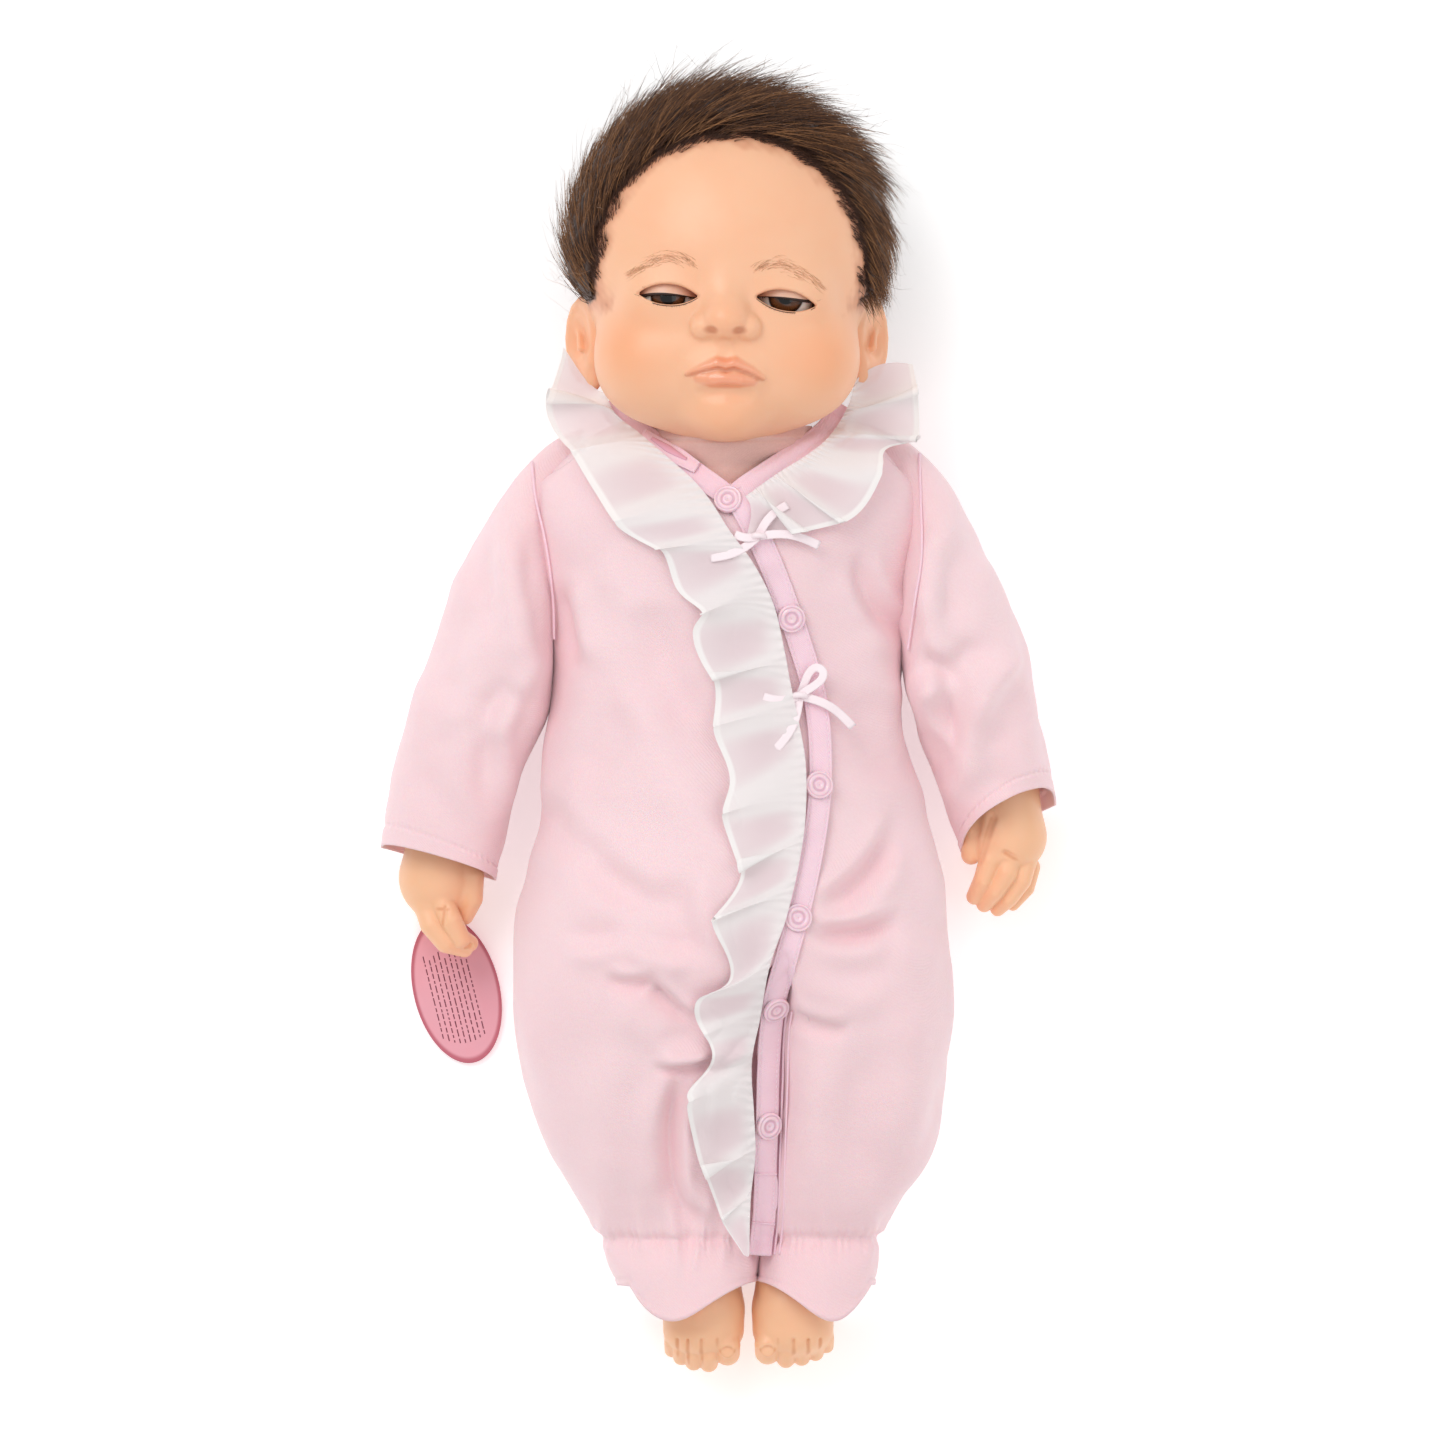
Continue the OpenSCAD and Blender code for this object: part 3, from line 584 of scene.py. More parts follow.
# Folds as [x0, y0, x1, y1, width, height]: a soft ridge with a hollow on its low side.
TORSO_FOLDS = [
    [-64, 52, -56, 20, 5, -1.6], [-52, 20, -60, 56, 7, 1.5], [-47, 62, -30, 40, 9, 1.0],
    [-42, 44, -30, -6, 10, 1.3], [-22, 40, -12, -10, 11, -1.4], [-58, -20, -38, 6, 9, -1.3],
    [-30, 12, -14, -42, 11, 1.2], [-71, -29, -54, -54, 7, -2.0], [-56, -52, -22, -73, 7, -2.0],
    [-66, -44, -40, -78, 9, 1.5], [-2, 6, 8, -48, 9, -1.3], [-20, -60, -12, -92, 7, -2.2],
    [-61, -89.5, -38, -87.5, 5, 1.6], [-38, -87.5, -14, -94, 5, 1.6],
    [-46, -100, -29, -101, 3.2, -2.0], [-30, -101, -12, -117, 3.2, -2.4],
    [-44, -108, -18, -122, 8, 1.6], [-27, -134, -4, -130, 2.6, -2.2], [-27, -128, -6, -125, 5, 1.4],
    [-17, -134, -18, -190, 3.6, -2.4], [-25, -136, -26, -188, 6, 1.4],
    [50, 62, 67, 33, 4.5, -2.2], [44, 58, 61, 26, 8, 1.4], [56, 34, 62, 6, 8, 1.2],
    [37, -72, 66, -40, 4.5, -2.0], [46, -78, 68, -50, 5, 1.7], [50, 10, 66, -24, 9, -1.2],
    [34, -82, 66, -76, 3.6, -2.2], [34, -90, 62, -86, 6, 1.4], [24, -113, 46, -119, 3.6, -1.8],
    [30, -100, 60, -108, 7, 1.3], [64, -84, 84, -92, 8, 1.1], [-26, -176, -8, -196, 5, -1.5],
    [-60, -120, -50, -170, 11, -1.2], [-46, -128, -40, -180, 10, 1.1],
    [34, -128, 42, -184, 10, 1.1], [58, -126, 56, -180, 11, -1.2], [74, -110, 72, -160, 9, 0.9],
]
SLEEVE_FOLDS = {
    -1: [[-84, 74, -76, 18, 6, 1.6], [-92, 70, -84, 30, 7, -1.4], [-78, 12, -96, 2, 6, -1.5],
         [-74, 22, -88, -16, 5, 1.7], [-100, 44, -106, 4, 8, -1.3], [-112, 22, -116, -22, 7, 1.1],
         [-98, 14, -104, -30, 8, 1.2], [-90, -4, -92, -36, 6, -1.2], [-106, 0, -112, -36, 8, -1.0]],
    1: [[82, 76, 78, 34, 6, 1.6], [92, 68, 88, 36, 7, -1.3], [72, 26, 92, 14, 5, -1.8],
        [74, 12, 98, 20, 5, 1.8], [103, 30, 86, 7, 7, -2.4], [87, 10, 82, -25, 7, -2.2],
        [112, 30, 94, -2, 8, 1.7], [104, -2, 108, -30, 7, -1.0], [112, 10, 116, -24, 8, 1.0],
        [78, 20, 84, -14, 4, 1.4]],
}


def fold_height(points, folds, facing):
    """Height that the folds add at points (x, y, ..) on the side that faces up."""
    total = np.zeros(len(points))
    for x0, y0, x1, y1, width, height in folds:
        a, b = np.array([x0, y0], float), np.array([x1, y1], float)
        way = b - a
        length = np.linalg.norm(way)
        way /= length
        rel = points[:, :2] - a
        along = rel @ way / length
        bow = 0.08 * length * np.sin(np.clip(along, 0, 1) * PI)
        across = rel @ np.array([-way[1], way[0]]) + bow
        taper = smooth(along, -0.12, 0.3) * smooth(-along, -1.12, -0.7)
        ridge = np.exp(-(across / width) ** 2)
        hollow = np.exp(-((across - 1.5 * width) / (0.9 * width)) ** 2)
        total += height * taper * (ridge - 0.55 * hollow)
    return total * smooth(facing, -0.15, 0.35)


def neck_edge(u_x):
    """Plan y of the suit's front top edge: a V that rises to the shoulders."""
    x = np.abs(u_x - 1.5)
    v = 90.5 + 21 * smooth(x, 0, 42) ** 0.8
    return v - 16 * smooth(x, 40, 72)


def hem_edge(x, side):
    outer, inner = edge_x(side, np.full(1, -228.0))[0], 11.6
    u = np.clip((x - inner) / (outer - inner), 0, 1)
    return -216.0 - 15.5 * np.sin(PI * np.clip(0.95 * u ** 1.7 + 0.01, 0, 1))


def romper_half(side):
    """Points of one half of the suit, from the neck to the hem, around its tube."""
    rows, cols = 300, 300
    row_y = SUIT_TOP - np.linspace(0, 1, rows) * (SUIT_TOP - SUIT_END)
    v = np.arange(cols) / cols
    bounds = np.cumsum(SHARES)
    a = np.clip(v / SHARES[0], 0, 1)
    b = np.clip((v - bounds[0]) / SHARES[1], 0, 1)
    c = np.clip((v - bounds[1]) / SHARES[2], 0, 1)
    angle = np.radians(122 - 122 * a - 122 * b - 116 * c)
    grid = np.zeros((rows, cols, 3))
    for i, y0 in enumerate(row_y):
        y = np.full(cols, y0)
        for _ in range(2):
            inner, outer = opening_x(y), edge_x(side, y)
            mid = 0.5 * (edge_x(1, y) + edge_x(-1, y))
            half = 0.5 * (edge_x(1, y) - edge_x(-1, y)) + 0.3
            start = np.degrees(np.arccos(np.clip(side * (inner - mid) / half, -1, 1)))
            arc = np.radians(np.where(v < bounds[0], start * (1 - a),
                             -np.where(v < bounds[1], start * b, start)))
            rise = 1 - 0.22 * smooth(y, 70, 118)
            tx = mid + side * half * np.cos(arc)
            tz = TORSO_MID + TORSO_FLAT * half * rise * np.sin(arc)
            wall = v >= bounds[1]
            z_low = np.maximum(TORSO_MID - TORSO_FLAT * half * np.sin(np.radians(start)), 1.6)
            z_high = TORSO_MID + TORSO_FLAT * half * rise * np.sin(np.radians(start))
            tx = np.where(wall, inner + side * 0.6 * np.sin(PI * c), tx)
            tz = np.where(wall, z_low + (z_high - z_low) * c, tz)
            tz = 1.4 + np.logaddexp(0, (tz - 1.4) / 3.0) * 3.0 - 0.9 * np.exp(-np.abs(tz) / 9)
            leg_mid, leg_half = (inner + outer) / 2, np.abs(outer - inner) / 2
            depth = by_y(LEG_DEPTHS, y)
            top = by_y(LEG_TOPS, y)
            power = 1 / 1.15
            lx = (leg_mid + side * leg_half * np.sign(np.cos(angle))
                  * np.abs(np.cos(angle)) ** power)
            lz = top - depth + depth * np.sign(np.sin(angle)) * np.abs(np.sin(angle)) ** power
            lz = np.maximum(lz, 1.2 + 0.02 * np.abs(lx - leg_mid))
            w = smooth(-y, *CROTCH)
            x, z = (1 - w) * tx + w * lx, (1 - w) * tz + w * lz
            if y0 > 60:
                front = smooth(z, 40, 62)
                back_edge = 104 - 12 * smooth(np.abs(x), 40, 72)
                top_edge = neck_edge(x) * front + (1 - front) * back_edge
                y = 60 + (y0 - 60) / (SUIT_TOP - 60) * (top_edge - 60)
            elif y0 < -206:
                y = -206 + (y0 + 206) / (SUIT_END + 206) * (hem_edge(x, side) + 206)
        grid[i] = np.stack([x, y, z], -1)
    return grid


def gathers(p, seed):
    """Puckers on both sides of the ankle elastic, running along the leg."""
    rng = np.random.default_rng(seed)
    height = np.zeros(len(p))
    along = p[:, 1] - ANKLE
    for _ in range(30):
        x = rng.uniform(-52, 62)
        z_side = rng.choice([-1, 1])
        size = rng.uniform(1.8, 3.8)
        up, down = rng.uniform(10, 22), rng.uniform(9, 18)
        lean = rng.uniform(-0.25, 0.25)
        d = (p[:, 0] - x - lean * along) / size
        fade = np.exp(-(along / np.where(along > 0, up, down)) ** 2)
        same = smooth(z_side * (p[:, 2] - 27), -6, 10)
        height += rng.uniform(0.9, 2.0) * fade * np.exp(-d * d) * same
    pinch = -2.0 * np.exp(-(along / 2.2) ** 2)
    fine = 0.35 * np.sin(p[:, 0] * 1.9 + 1.3 * np.sin(p[:, 0] * 0.7))
    return height + pinch + fine * np.exp(-(along / 5) ** 2)


def suit_half(name, side):
    grid = romper_half(side)
    rows, cols = grid.shape[:2]
    normal = tube_normals(grid)
    p = grid.reshape(-1, 3)
    inside = 1 - smooth(np.abs(p[:, 0] - opening_x(p[:, 1])), 0.4, 4)
    outside = 1 - inside * (1 - smooth(-p[:, 1], 110, 150))
    lift = fold_height(p, TORSO_FOLDS, normal[:, 2]) * 2.1
    lift += ripple(p * [1, 0.6, 1], 5, 34) * 0.8 * outside
    lift += ripple(p, 6, 13) * 0.10 * outside
    lift += gathers(p, 11 + side)
    hem = hem_edge(p[:, 0], side)
    lift += -0.35 * np.exp(-((p[:, 1] - hem - 2.6) / 0.35) ** 2)
    lift += 0.35 * smooth(-(p[:, 1] - hem), -2.4, -1.2)
    back = smooth(-normal[:, 2], 0.1, 0.6) * smooth(p[:, 1], -150, -120)
    p = p + normal * (lift * (1 - 0.8 * back))[:, None]
    p[:, 2] = np.maximum(p[:, 2], CLOTH)
    neckline[side] = p[:cols].copy()
    faces = grid_faces(rows, cols, wrap_cols=True)
    faces = faces if side < 0 else faces[:, ::-1]
    obj = mesh_object(name, p, faces, suit_look.mat)
    thicken(obj, CLOTH, -1)
    with_legs(obj)
    return obj


def suit_shoulder(name, side):
    """The suit's cloth over one shoulder, from its front top edge to its back one."""
    edge = neckline[side]
    turn = np.linspace(0, 0.72, 60)
    places = np.arange(len(edge)) / len(edge)
    front, back = (np.stack([np.interp(at, places, edge[:, k]) for k in range(3)], -1)
                   for at in (SHARES[0] * (1 - turn), SHARES[0] + SHARES[1] * turn))
    s = np.linspace(0, 1, 40)[:, None, None]
    p = front * (1 - s) + back * s
    p[..., 1] += 6 * np.sin(PI * s[..., 0]) * smooth(turn, 0, 0.35) - 0.6
    p[..., 0] += side * 2.5 * np.sin(PI * s[..., 0]) * smooth(-turn, -0.3, 0)
    obj = mesh_object(name, p.reshape(-1, 3), grid_faces(40, 60), suit_look.mat, "torso")
    thicken(obj, CLOTH, 0)


neckline = {}
romper = [suit_half("romper_right", -1), suit_half("romper_left", 1)]
MAP_CELL, MAP_LOW, MAP_HIGH = 1.6, np.array([-96.0, -244.0]), np.array([100.0, 132.0])


def top_map(objs):
    """Height of the uppermost cloth over a grid of places in plan."""
    size = np.ceil((MAP_HIGH - MAP_LOW) / MAP_CELL).astype(int) + 1
    gx, gy = np.meshgrid(*(MAP_LOW[k] + MAP_CELL * np.arange(size[k]) for k in (0, 1)),
                         indexing="ij")
    tall = np.full(size, -1.0)
    for obj in objs:
        p = positions_mm(obj.data)
        cell = np.round((p[:, :2] - MAP_LOW) / MAP_CELL).astype(int)
        inside = np.all((cell >= 0) & (cell < size), axis=1)
        np.maximum.at(tall, tuple(cell[inside].T), p[inside, 2])
    flat = front_z(gx, gy)
    flat = np.where(np.isfinite(flat), flat, TORSO_MID)
    tall = np.where(tall < flat - 9, flat, tall)
    for _ in range(2):
        wide = np.pad(tall, 1, mode="edge")
        mean = sum(wide[i:i + size[0], j:j + size[1]] for i in range(3) for j in range(3)) / 9
        tall = 0.4 * tall + 0.6 * mean
    return tall


TOP_MAP = top_map(romper)


def cloth_z(x, y):
    """Height of the folded suit over a place in plan."""
    x, y = np.broadcast_arrays(np.asarray(x, float), np.asarray(y, float))
    at = [np.clip((v - low) / MAP_CELL, 0, n - 1.001)
          for v, low, n in zip((x, y), MAP_LOW, TOP_MAP.shape)]
    i, j = (a.astype(int) for a in at)
    u, v = at[0] - i, at[1] - j
    return ((TOP_MAP[i, j] * (1 - u) + TOP_MAP[i + 1, j] * u) * (1 - v)
            + (TOP_MAP[i, j + 1] * (1 - u) + TOP_MAP[i + 1, j + 1] * u) * v)


# ---- sleeves ---------------------------------------------------------------------

SLEEVES = {
    -1: ([[-56, 112.5], [-66, 108], [-76, 99.5], [-86, 87.5], [-93, 76], [-99, 65],
          [-105, 54], [-109, 42], [-113, 31], [-117, 19], [-121, 8], [-124, -4],
          [-127, -15], [-130, -27], [-132, -38], [-133.4, -49.5]],
         [[-60, 34], [-66, 30], [-66.5, 24], [-67, 16], [-68, 8], [-70, 0], [-73, -7],
          [-76, -14], [-78.5, -21], [-80.5, -29], [-82.5, -36], [-84.5, -44], [-87, -52],
          [-88.4, -57], [-89.5, -62]]),
    1: ([[56, 113.5], [66, 109.5], [76, 102], [85.5, 91.5], [92.5, 77.5], [99, 65],
         [105.5, 54], [111, 42], [114.5, 31], [117.5, 19], [120, 8], [122, -4],
         [123.5, -14], [125, -21], [126, -28], [127, -33]],
        [[60, 30], [66, 26], [67, 22], [68, 16], [69, 9], [71.5, 2], [73.5, -5],
         [76, -12], [78.5, -19], [81, -26], [83.5, -33], [86, -39], [88, -44],
         [89.5, -48], [90.5, -51]]),
}
SLEEVE_MID_Z = [[0, 43], [0.2, 43], [0.5, 38], [1, 26.5]]
SLEEVE_DEPTH = [[0, 9], [0.08, 15], [0.17, 25], [0.27, 32], [0.5, 29.5], [0.85, 25], [1, 25.5]]
CUFF_ARCH = {-1: 3.5, 1: 12.0}


def sleeve_grid(side):
    rows, cols = 230, 220
    outer, inner = SLEEVES[side]
    s = np.linspace(0, 1, rows)
    out_line, in_line = spline(outer, s), spline(inner, s)
    zmid = knotted(*np.array(SLEEVE_MID_Z).T, s)
    depth = knotted(*np.array(SLEEVE_DEPTH).T, s)
    a = np.arange(cols) * 2 * PI / cols
    mid, half = (out_line + in_line) / 2, (out_line - in_line) / 2
    power = 1 / 1.08
    ca = np.sign(np.cos(a)) * np.abs(np.cos(a)) ** power
    sa = np.sign(np.sin(a)) * np.abs(np.sin(a)) ** power
    xy = mid[:, None] + ca[None, :, None] * half[:, None]
    z = np.maximum(zmid[:, None] + depth[:, None] * sa[None], 1.2)
    arch = CUFF_ARCH[side] * smooth(s, 0.62, 1.0)[:, None] * np.clip(sa, 0, 1)[None] ** 0.8
    xy[..., 1] += arch
    return np.concatenate([xy, z[..., None]], -1)


def suit_sleeve(name, side):
    grid = sleeve_grid(side)
    rows, cols = grid.shape[:2]
    normal = tube_normals(grid)
    p = grid.reshape(-1, 3)
    s = np.repeat(np.linspace(0, 1, rows), cols)
    lift = fold_height(p, SLEEVE_FOLDS[side], normal[:, 2]) * 2.1
    lift += ripple(p, 15 + side, 30) * 0.6 * smooth(s, 0.1, 0.3) * smooth(-s, -0.97, -0.8)
    lift += ripple(p, 25 + side, 12) * 0.12
    lift += -0.4 * np.exp(-((s - 0.955) / 0.0035) ** 2) + 0.3 * smooth(s, 0.957, 0.965)
    lift += 0.22 * np.sin(p[:, 0] * 3.1) * np.exp(-((s - 0.955) / 0.012) ** 2)
    p = p + normal * lift[:, None]
    p[:, 2] = np.maximum(p[:, 2], CLOTH)
    faces = grid_faces(rows, cols, wrap_cols=True)
    faces = faces if side > 0 else faces[:, ::-1]
    obj = mesh_object(name, p, faces, suit_look.mat)
    thicken(obj, CLOTH, -1)
    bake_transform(obj)
    return obj


sleeves = {-1: suit_sleeve("sleeve_cloth_right", -1),
           1: suit_sleeve("sleeve_cloth_left", 1)}
ARMHOLES = {-1: [(-75, 99.5), (-73.5, 85), (-70.5, 72), (-68.4, 60), (-66.8, 45), (-66.5, 31)],
            1: [(74, 102.5), (74.5, 85), (74.6, 62), (72, 45), (69.5, 27)]}
for _side, line in ARMHOLES.items():
    path = spline(line, np.linspace(0, 1, 90))
    cloth = np.vstack([positions_mm(o.data) for o in (*romper, sleeves[_side])])
    cloth = cloth[cloth[:, 2] > 30]
    near = [cloth[np.hypot(*(cloth[:, :2] - at).T) < 1.5][:, 2].max() for at in path]
    near = np.convolve(np.pad(near, 4, mode="edge"), np.ones(9) / 9, "valid")
    v, f = tube_mesh(np.column_stack([path, near + 0.05]), 0.5, 8)
    mesh_object(f"armhole_seam_{'right' if _side < 0 else 'left'}", v, f, band_look.mat,
                "torso")


# ---- head -------------------------------------------------------------------------

BASE_STEPS = [
    ("add", ellipsoid((0, 186, 57), (57.5, 53, 55)), 0),
    ("add", ellipsoid((0, 172, 67), (53, 55, 46)), 12),
    ("add", ellipsoid((0, 140, 78), (44, 34, 35)), 12),
    ("add", ellipsoid((-29, 137.5, 86), (21.5, 22, 23)), 10),
    ("add", ellipsoid((29, 137.5, 86), (21.5, 22, 23)), 10),
    ("add", ellipsoid((0, 118.5, 98), (13, 10.5, 13)), 9),
    ("add", capsule((0, 126, 60), (0, 101, NECK[2]), 20.5), 6),
]
for _side in (-1, 1):
    BASE_STEPS.append(
        ("add", ellipsoid((_side * EYE_X, EYE_Y + 0.5, EYE_Z), (16.5, 13.0, 13.2)), 8))
skull = sculpture(BASE_STEPS)


def skin_z(x, y, shape=skull, low=60.0, high=135.0):
    """Height of the front of the face over places in plan."""
    x, y = np.broadcast_arrays(np.asarray(x, float), np.asarray(y, float))
    x, y = x.ravel(), y.ravel()
    a, b = np.full(len(x), low), np.full(len(x), high)
    for _ in range(22):
        mid = (a + b) / 2
        inside = shape(np.stack([x, y, mid], 1)) < 0
        a, b = np.where(inside, mid, a), np.where(inside, b, mid)
    return (a + b) / 2


def on_skin(points_xy, lift):
    xy = np.array(points_xy, float)
    return np.column_stack([xy, skin_z(xy[:, 0], xy[:, 1]) + lift])


def turn_about_y(degrees):
    a = math.radians(degrees)
    return np.array([[math.cos(a), 0, -math.sin(a)], [0, 1, 0], [math.sin(a), 0, math.cos(a)]])


def ear_steps(side):
    flat = turn_about_y(side * 38)
    at = np.array([side * 54.5, 146.0, 57.0])
    a = np.radians(np.linspace(-75, 215, 12))
    rim = np.stack([np.full(12, side * 1.2), 14.8 * np.sin(a), -8.2 * np.cos(a)], 1)
    fold = np.array([[side * 1.6, -3, 4.5], [side * 2.2, 4, -1.5], [side * 1.2, 9, -3.0]])
    return [
        ("add", ellipsoid(at, (3.4, 16.5, 9.5), flat), 2.5),
        ("add", chain(at + rim @ flat.T, np.linspace(1.5, 2.3, 12)), 1.6),
        ("add", ellipsoid(at + [side * -3.4, -11.5, 1.5], (3.4, 8.0, 4.6)), 4.0),
        ("cut", ellipsoid(at + [side * 3.6, 1.0, 2.0], (3.0, 8.0, 5.2), flat), 1.5),
        ("add", chain(at + fold, [1.5, 1.3, 1.0]), 1.5),
    ]


OPEN_W, OPEN_UP, OPEN_DOWN = 11.6, 4.1, 3.7
OPEN_MID = {-1: (0.7, -0.6), 1: (-1.7, -1.7)}


def almond_rims(side, x):
    """Plan y of the upper and lower rim of an eye's opening."""
    u = np.clip((x - side * EYE_X) / OPEN_W, -1, 1)
    mid = EYE_Y + OPEN_MID[side][0] + OPEN_MID[side][1] * u
    arch = (1 - np.abs(u) ** 2.2)
    return mid + OPEN_UP * arch, mid - OPEN_DOWN * arch


def almond(side):
    """The opening between the lids, cut straight back as far as the eye's middle."""
    def distance(p):
        up, down = almond_rims(side, p[:, 0])
        tall = np.maximum(p[:, 1] - up, down - p[:, 1])
        wide = np.abs(p[:, 0] - side * EYE_X) - OPEN_W
        return np.maximum(np.maximum(tall * 0.85, wide), EYE_Z + 2 - p[:, 2])
    return distance


UPPER_LIP = on_skin([(-15.6, 131.9), (-9.4, 134.2), (-3.6, 136.2), (-0.3, 135.7), (3.1, 136.1),
                     (9.0, 133.6), (14.2, 130.3)], 0.1)
LOWER_LIP = on_skin([(-11.0, 130.8), (-5.6, 130.2), (-0.7, 130.1), (4.6, 130.0), (9.8, 129.6)], 0.1)
MOUTH_LINE = on_skin([(-16.9, 131.1), (-9, 133.0), (-3.4, 134.1), (-0.5, 133.2), (2.6, 134.0),
                      (8.0, 132.3), (15.2, 128.6)], 0.0)
UPPER_R = [0.4, 1.4, 2.2, 2.1, 2.2, 1.3, 0.4]
LOWER_R = [1.5, 3.0, 3.3, 3.0, 1.5]
NOSE_X = -0.5
FACE_STEPS = BASE_STEPS + [
    ("add", capsule((NOSE_X, 169, 107.5), (NOSE_X, 156, 114), 5.0, 6.0), 7),
    ("add", ellipsoid((NOSE_X, 153.0, 113.5), (9.0, 7.6, 9.6)), 3.5),
    ("add", ellipsoid((NOSE_X - 8.6, 150.4, 111.8), (5.3, 5.5, 6.4)), 1.3),
    ("add", ellipsoid((NOSE_X + 8.6, 150.0, 111.8), (5.3, 5.5, 6.4)), 1.3),
    ("add", capsule((NOSE_X, 149.0, 116), (NOSE_X, 145.5, 112.5), 2.6), 2.5),
    ("cut", chain(np.array([[-8.8, 148.2, 119.4], [-6.6, 149.4, 121.0], [-4.2, 148.2, 121.0]]),
                  [1.0, 1.5, 0.9]), 0.8),
    ("cut", chain(np.array([[7.4, 147.9, 119.4], [5.2, 149.1, 121.0], [2.8, 147.9, 121.0]]),
                  [1.0, 1.5, 0.9]), 0.8),
    ("add", ellipsoid((-0.7, 132.5, skin_z(-0.7, 132)[0] - 5.5), (14, 9.0, 8.0)), 6),
    ("add", chain(UPPER_LIP + [0, 0, 1.2], UPPER_R), 1.5),
    ("add", chain(LOWER_LIP + [0, 0, 1.2], LOWER_R), 1.5),
    ("cut", chain(MOUTH_LINE + [0, 0, 3.0], [0.25, 0.5, 0.7, 0.7, 0.7, 0.5, 0.25]), 1.1),
    ("cut", capsule((-0.7, 144, skin_z(-0.7, 143)[0] + 2.9),
                    (-0.7, 139.6, skin_z(-0.7, 138)[0] + 3.4), 1.5, 1.8), 2.5),
    ("cut", chain(on_skin([(-9, 124.2), (-0.7, 125.2), (8, 124.2)], 2.1), [1.5, 2.2, 1.5]), 4),
]
for _side in (-1, 1):
    FACE_STEPS += ear_steps(_side)
    FACE_STEPS += [
        ("cut", ellipsoid((_side * EYE_X, EYE_Y, EYE_Z), (12.35, 12.35, 12.35)), 0.2),
        ("cut", almond(_side), 0.7),
    ]
face = sculpture(FACE_STEPS)


def scalp(p):
    """How far inside the hair a place on the head is, in mm: negative is bare skin."""
    x, y, z = p.T
    wobble = 0.9 * ripple(p, 61, 7, 5) + 0.5 * ripple(p, 62, 3, 4)
    ring = np.hypot(x - 1.5, y - 172.5) - 51.0
    front = np.minimum(ring, (y - 160) * 0.9)
    side = y - 163.5 + 0.12 * (z - 60)
    back = y - 129
    w_front = smooth(z, 62, 74)
    w_back = smooth(-z, -50, -40)
    return w_front * front + (1 - w_front) * (w_back * back + (1 - w_back) * side) + wobble


head = sculpt("head_skin", face, (-66, 92, -2), (66, 244, 128), 1.35, skin_look.mat,
              "head")
head_p = positions_mm(head.data)
blush = sum(w * np.exp(-((head_p[:, 0] - x) ** 2 + (head_p[:, 1] - y) ** 2) / r ** 2)
            for x, y, r, w in ((-37, 143, 13, 0.95), (37, 139, 13, 0.95), (0, 152, 8, 0.35),
                               (0, 112, 14, 0.45), (-57, 146, 10, 0.5), (57, 146, 10, 0.5)))
paint(head, "blush", blush * (head_p[:, 2] > 50))
near_lips = np.minimum(chain(UPPER_LIP + [0, 0, 1.2], np.array(UPPER_R) + 0.35)(head_p),
                       chain(LOWER_LIP + [0, 0, 1.2], np.array(LOWER_R) + 0.35)(head_p))
paint(head, "lips", (1 - smooth(near_lips, -0.8, 0.8))
      * smooth(17 - np.abs(head_p[:, 0] + 0.8), 0, 5))
# Painted shade where shade falls on the face: the mouth line, the nostril dents, the rims of the
# eye openings and the edge of the eye sockets
mouth_line_shade = 1 - smooth(chain(MOUTH_LINE + [0, 0, 2.2], np.full(7, 0.3))(head_p), 0.0, 1.1)
nostril_shade = sum(1 - smooth(np.linalg.norm((head_p - c) / [3.6, 2.2, 4.0], axis=1), 0.5, 1.1)
              for c in ((-6.5, 148.7, 120), (5.1, 148.4, 120)))
lid_rim_shade = np.zeros(len(head_p))
for _side in (-1, 1):
    up, down = almond_rims(_side, head_p[:, 0])
    near_eye = (np.abs(head_p[:, 0] - _side * EYE_X) < OPEN_W + 0.5) * (head_p[:, 2] > EYE_Z)
    lid_rim_shade += near_eye * np.exp(-((head_p[:, 1] - up - 0.2) / 0.55) ** 2)
    lid_rim_shade += 0.5 * near_eye * np.exp(-((head_p[:, 1] - down + 0.2) / 0.5) ** 2)
socket = sum(1 - smooth(np.linalg.norm(head_p - [s * EYE_X, EYE_Y, EYE_Z], axis=1), 12.8, 13.6)
             for s in (-1, 1))
paint(head, "crease_shade", np.clip(mouth_line_shade * 0.8 + nostril_shade * 0.95 + lid_rim_shade * 0.45
                              + socket * 0.25, 0, 1))
paint(head, "scalp", smooth(scalp(head_p), -0.5, 1.5))
paint(head, "halo", smooth(scalp(head_p), -5.5, 0.5))
skin_look.over(skin_look.value("halo"), (196, 112, 76), 0.55)
skin_look.over(skin_look.value("scalp"), (66, 38, 26), 0.9)
skin_look.link(skin_look.value("lips"), skin_look.shader.inputs["Coat Weight"])
skin_look.shader.inputs["Coat Roughness"].default_value = 0.13


# ---- eyes --------------------------------------------------------------------------

BALL_SIDES = 96


def ball_points(centre, radius, ring_angles):
    """Points of an eyeball about the line of sight, ring by ring, with a clear bulge in front."""
    a = np.arange(BALL_SIDES) * 2 * PI / BALL_SIDES
    rings = []
    for t in ring_angles:
        bulge = 0.24 * math.exp(-(t / 0.55) ** 4)
        r = radius + bulge
        rings.append(np.stack([r * math.sin(t) * np.cos(a), r * math.sin(t) * np.sin(a),
                               np.full(BALL_SIDES, r * math.cos(t))], 1))
    return np.vstack(rings) + centre


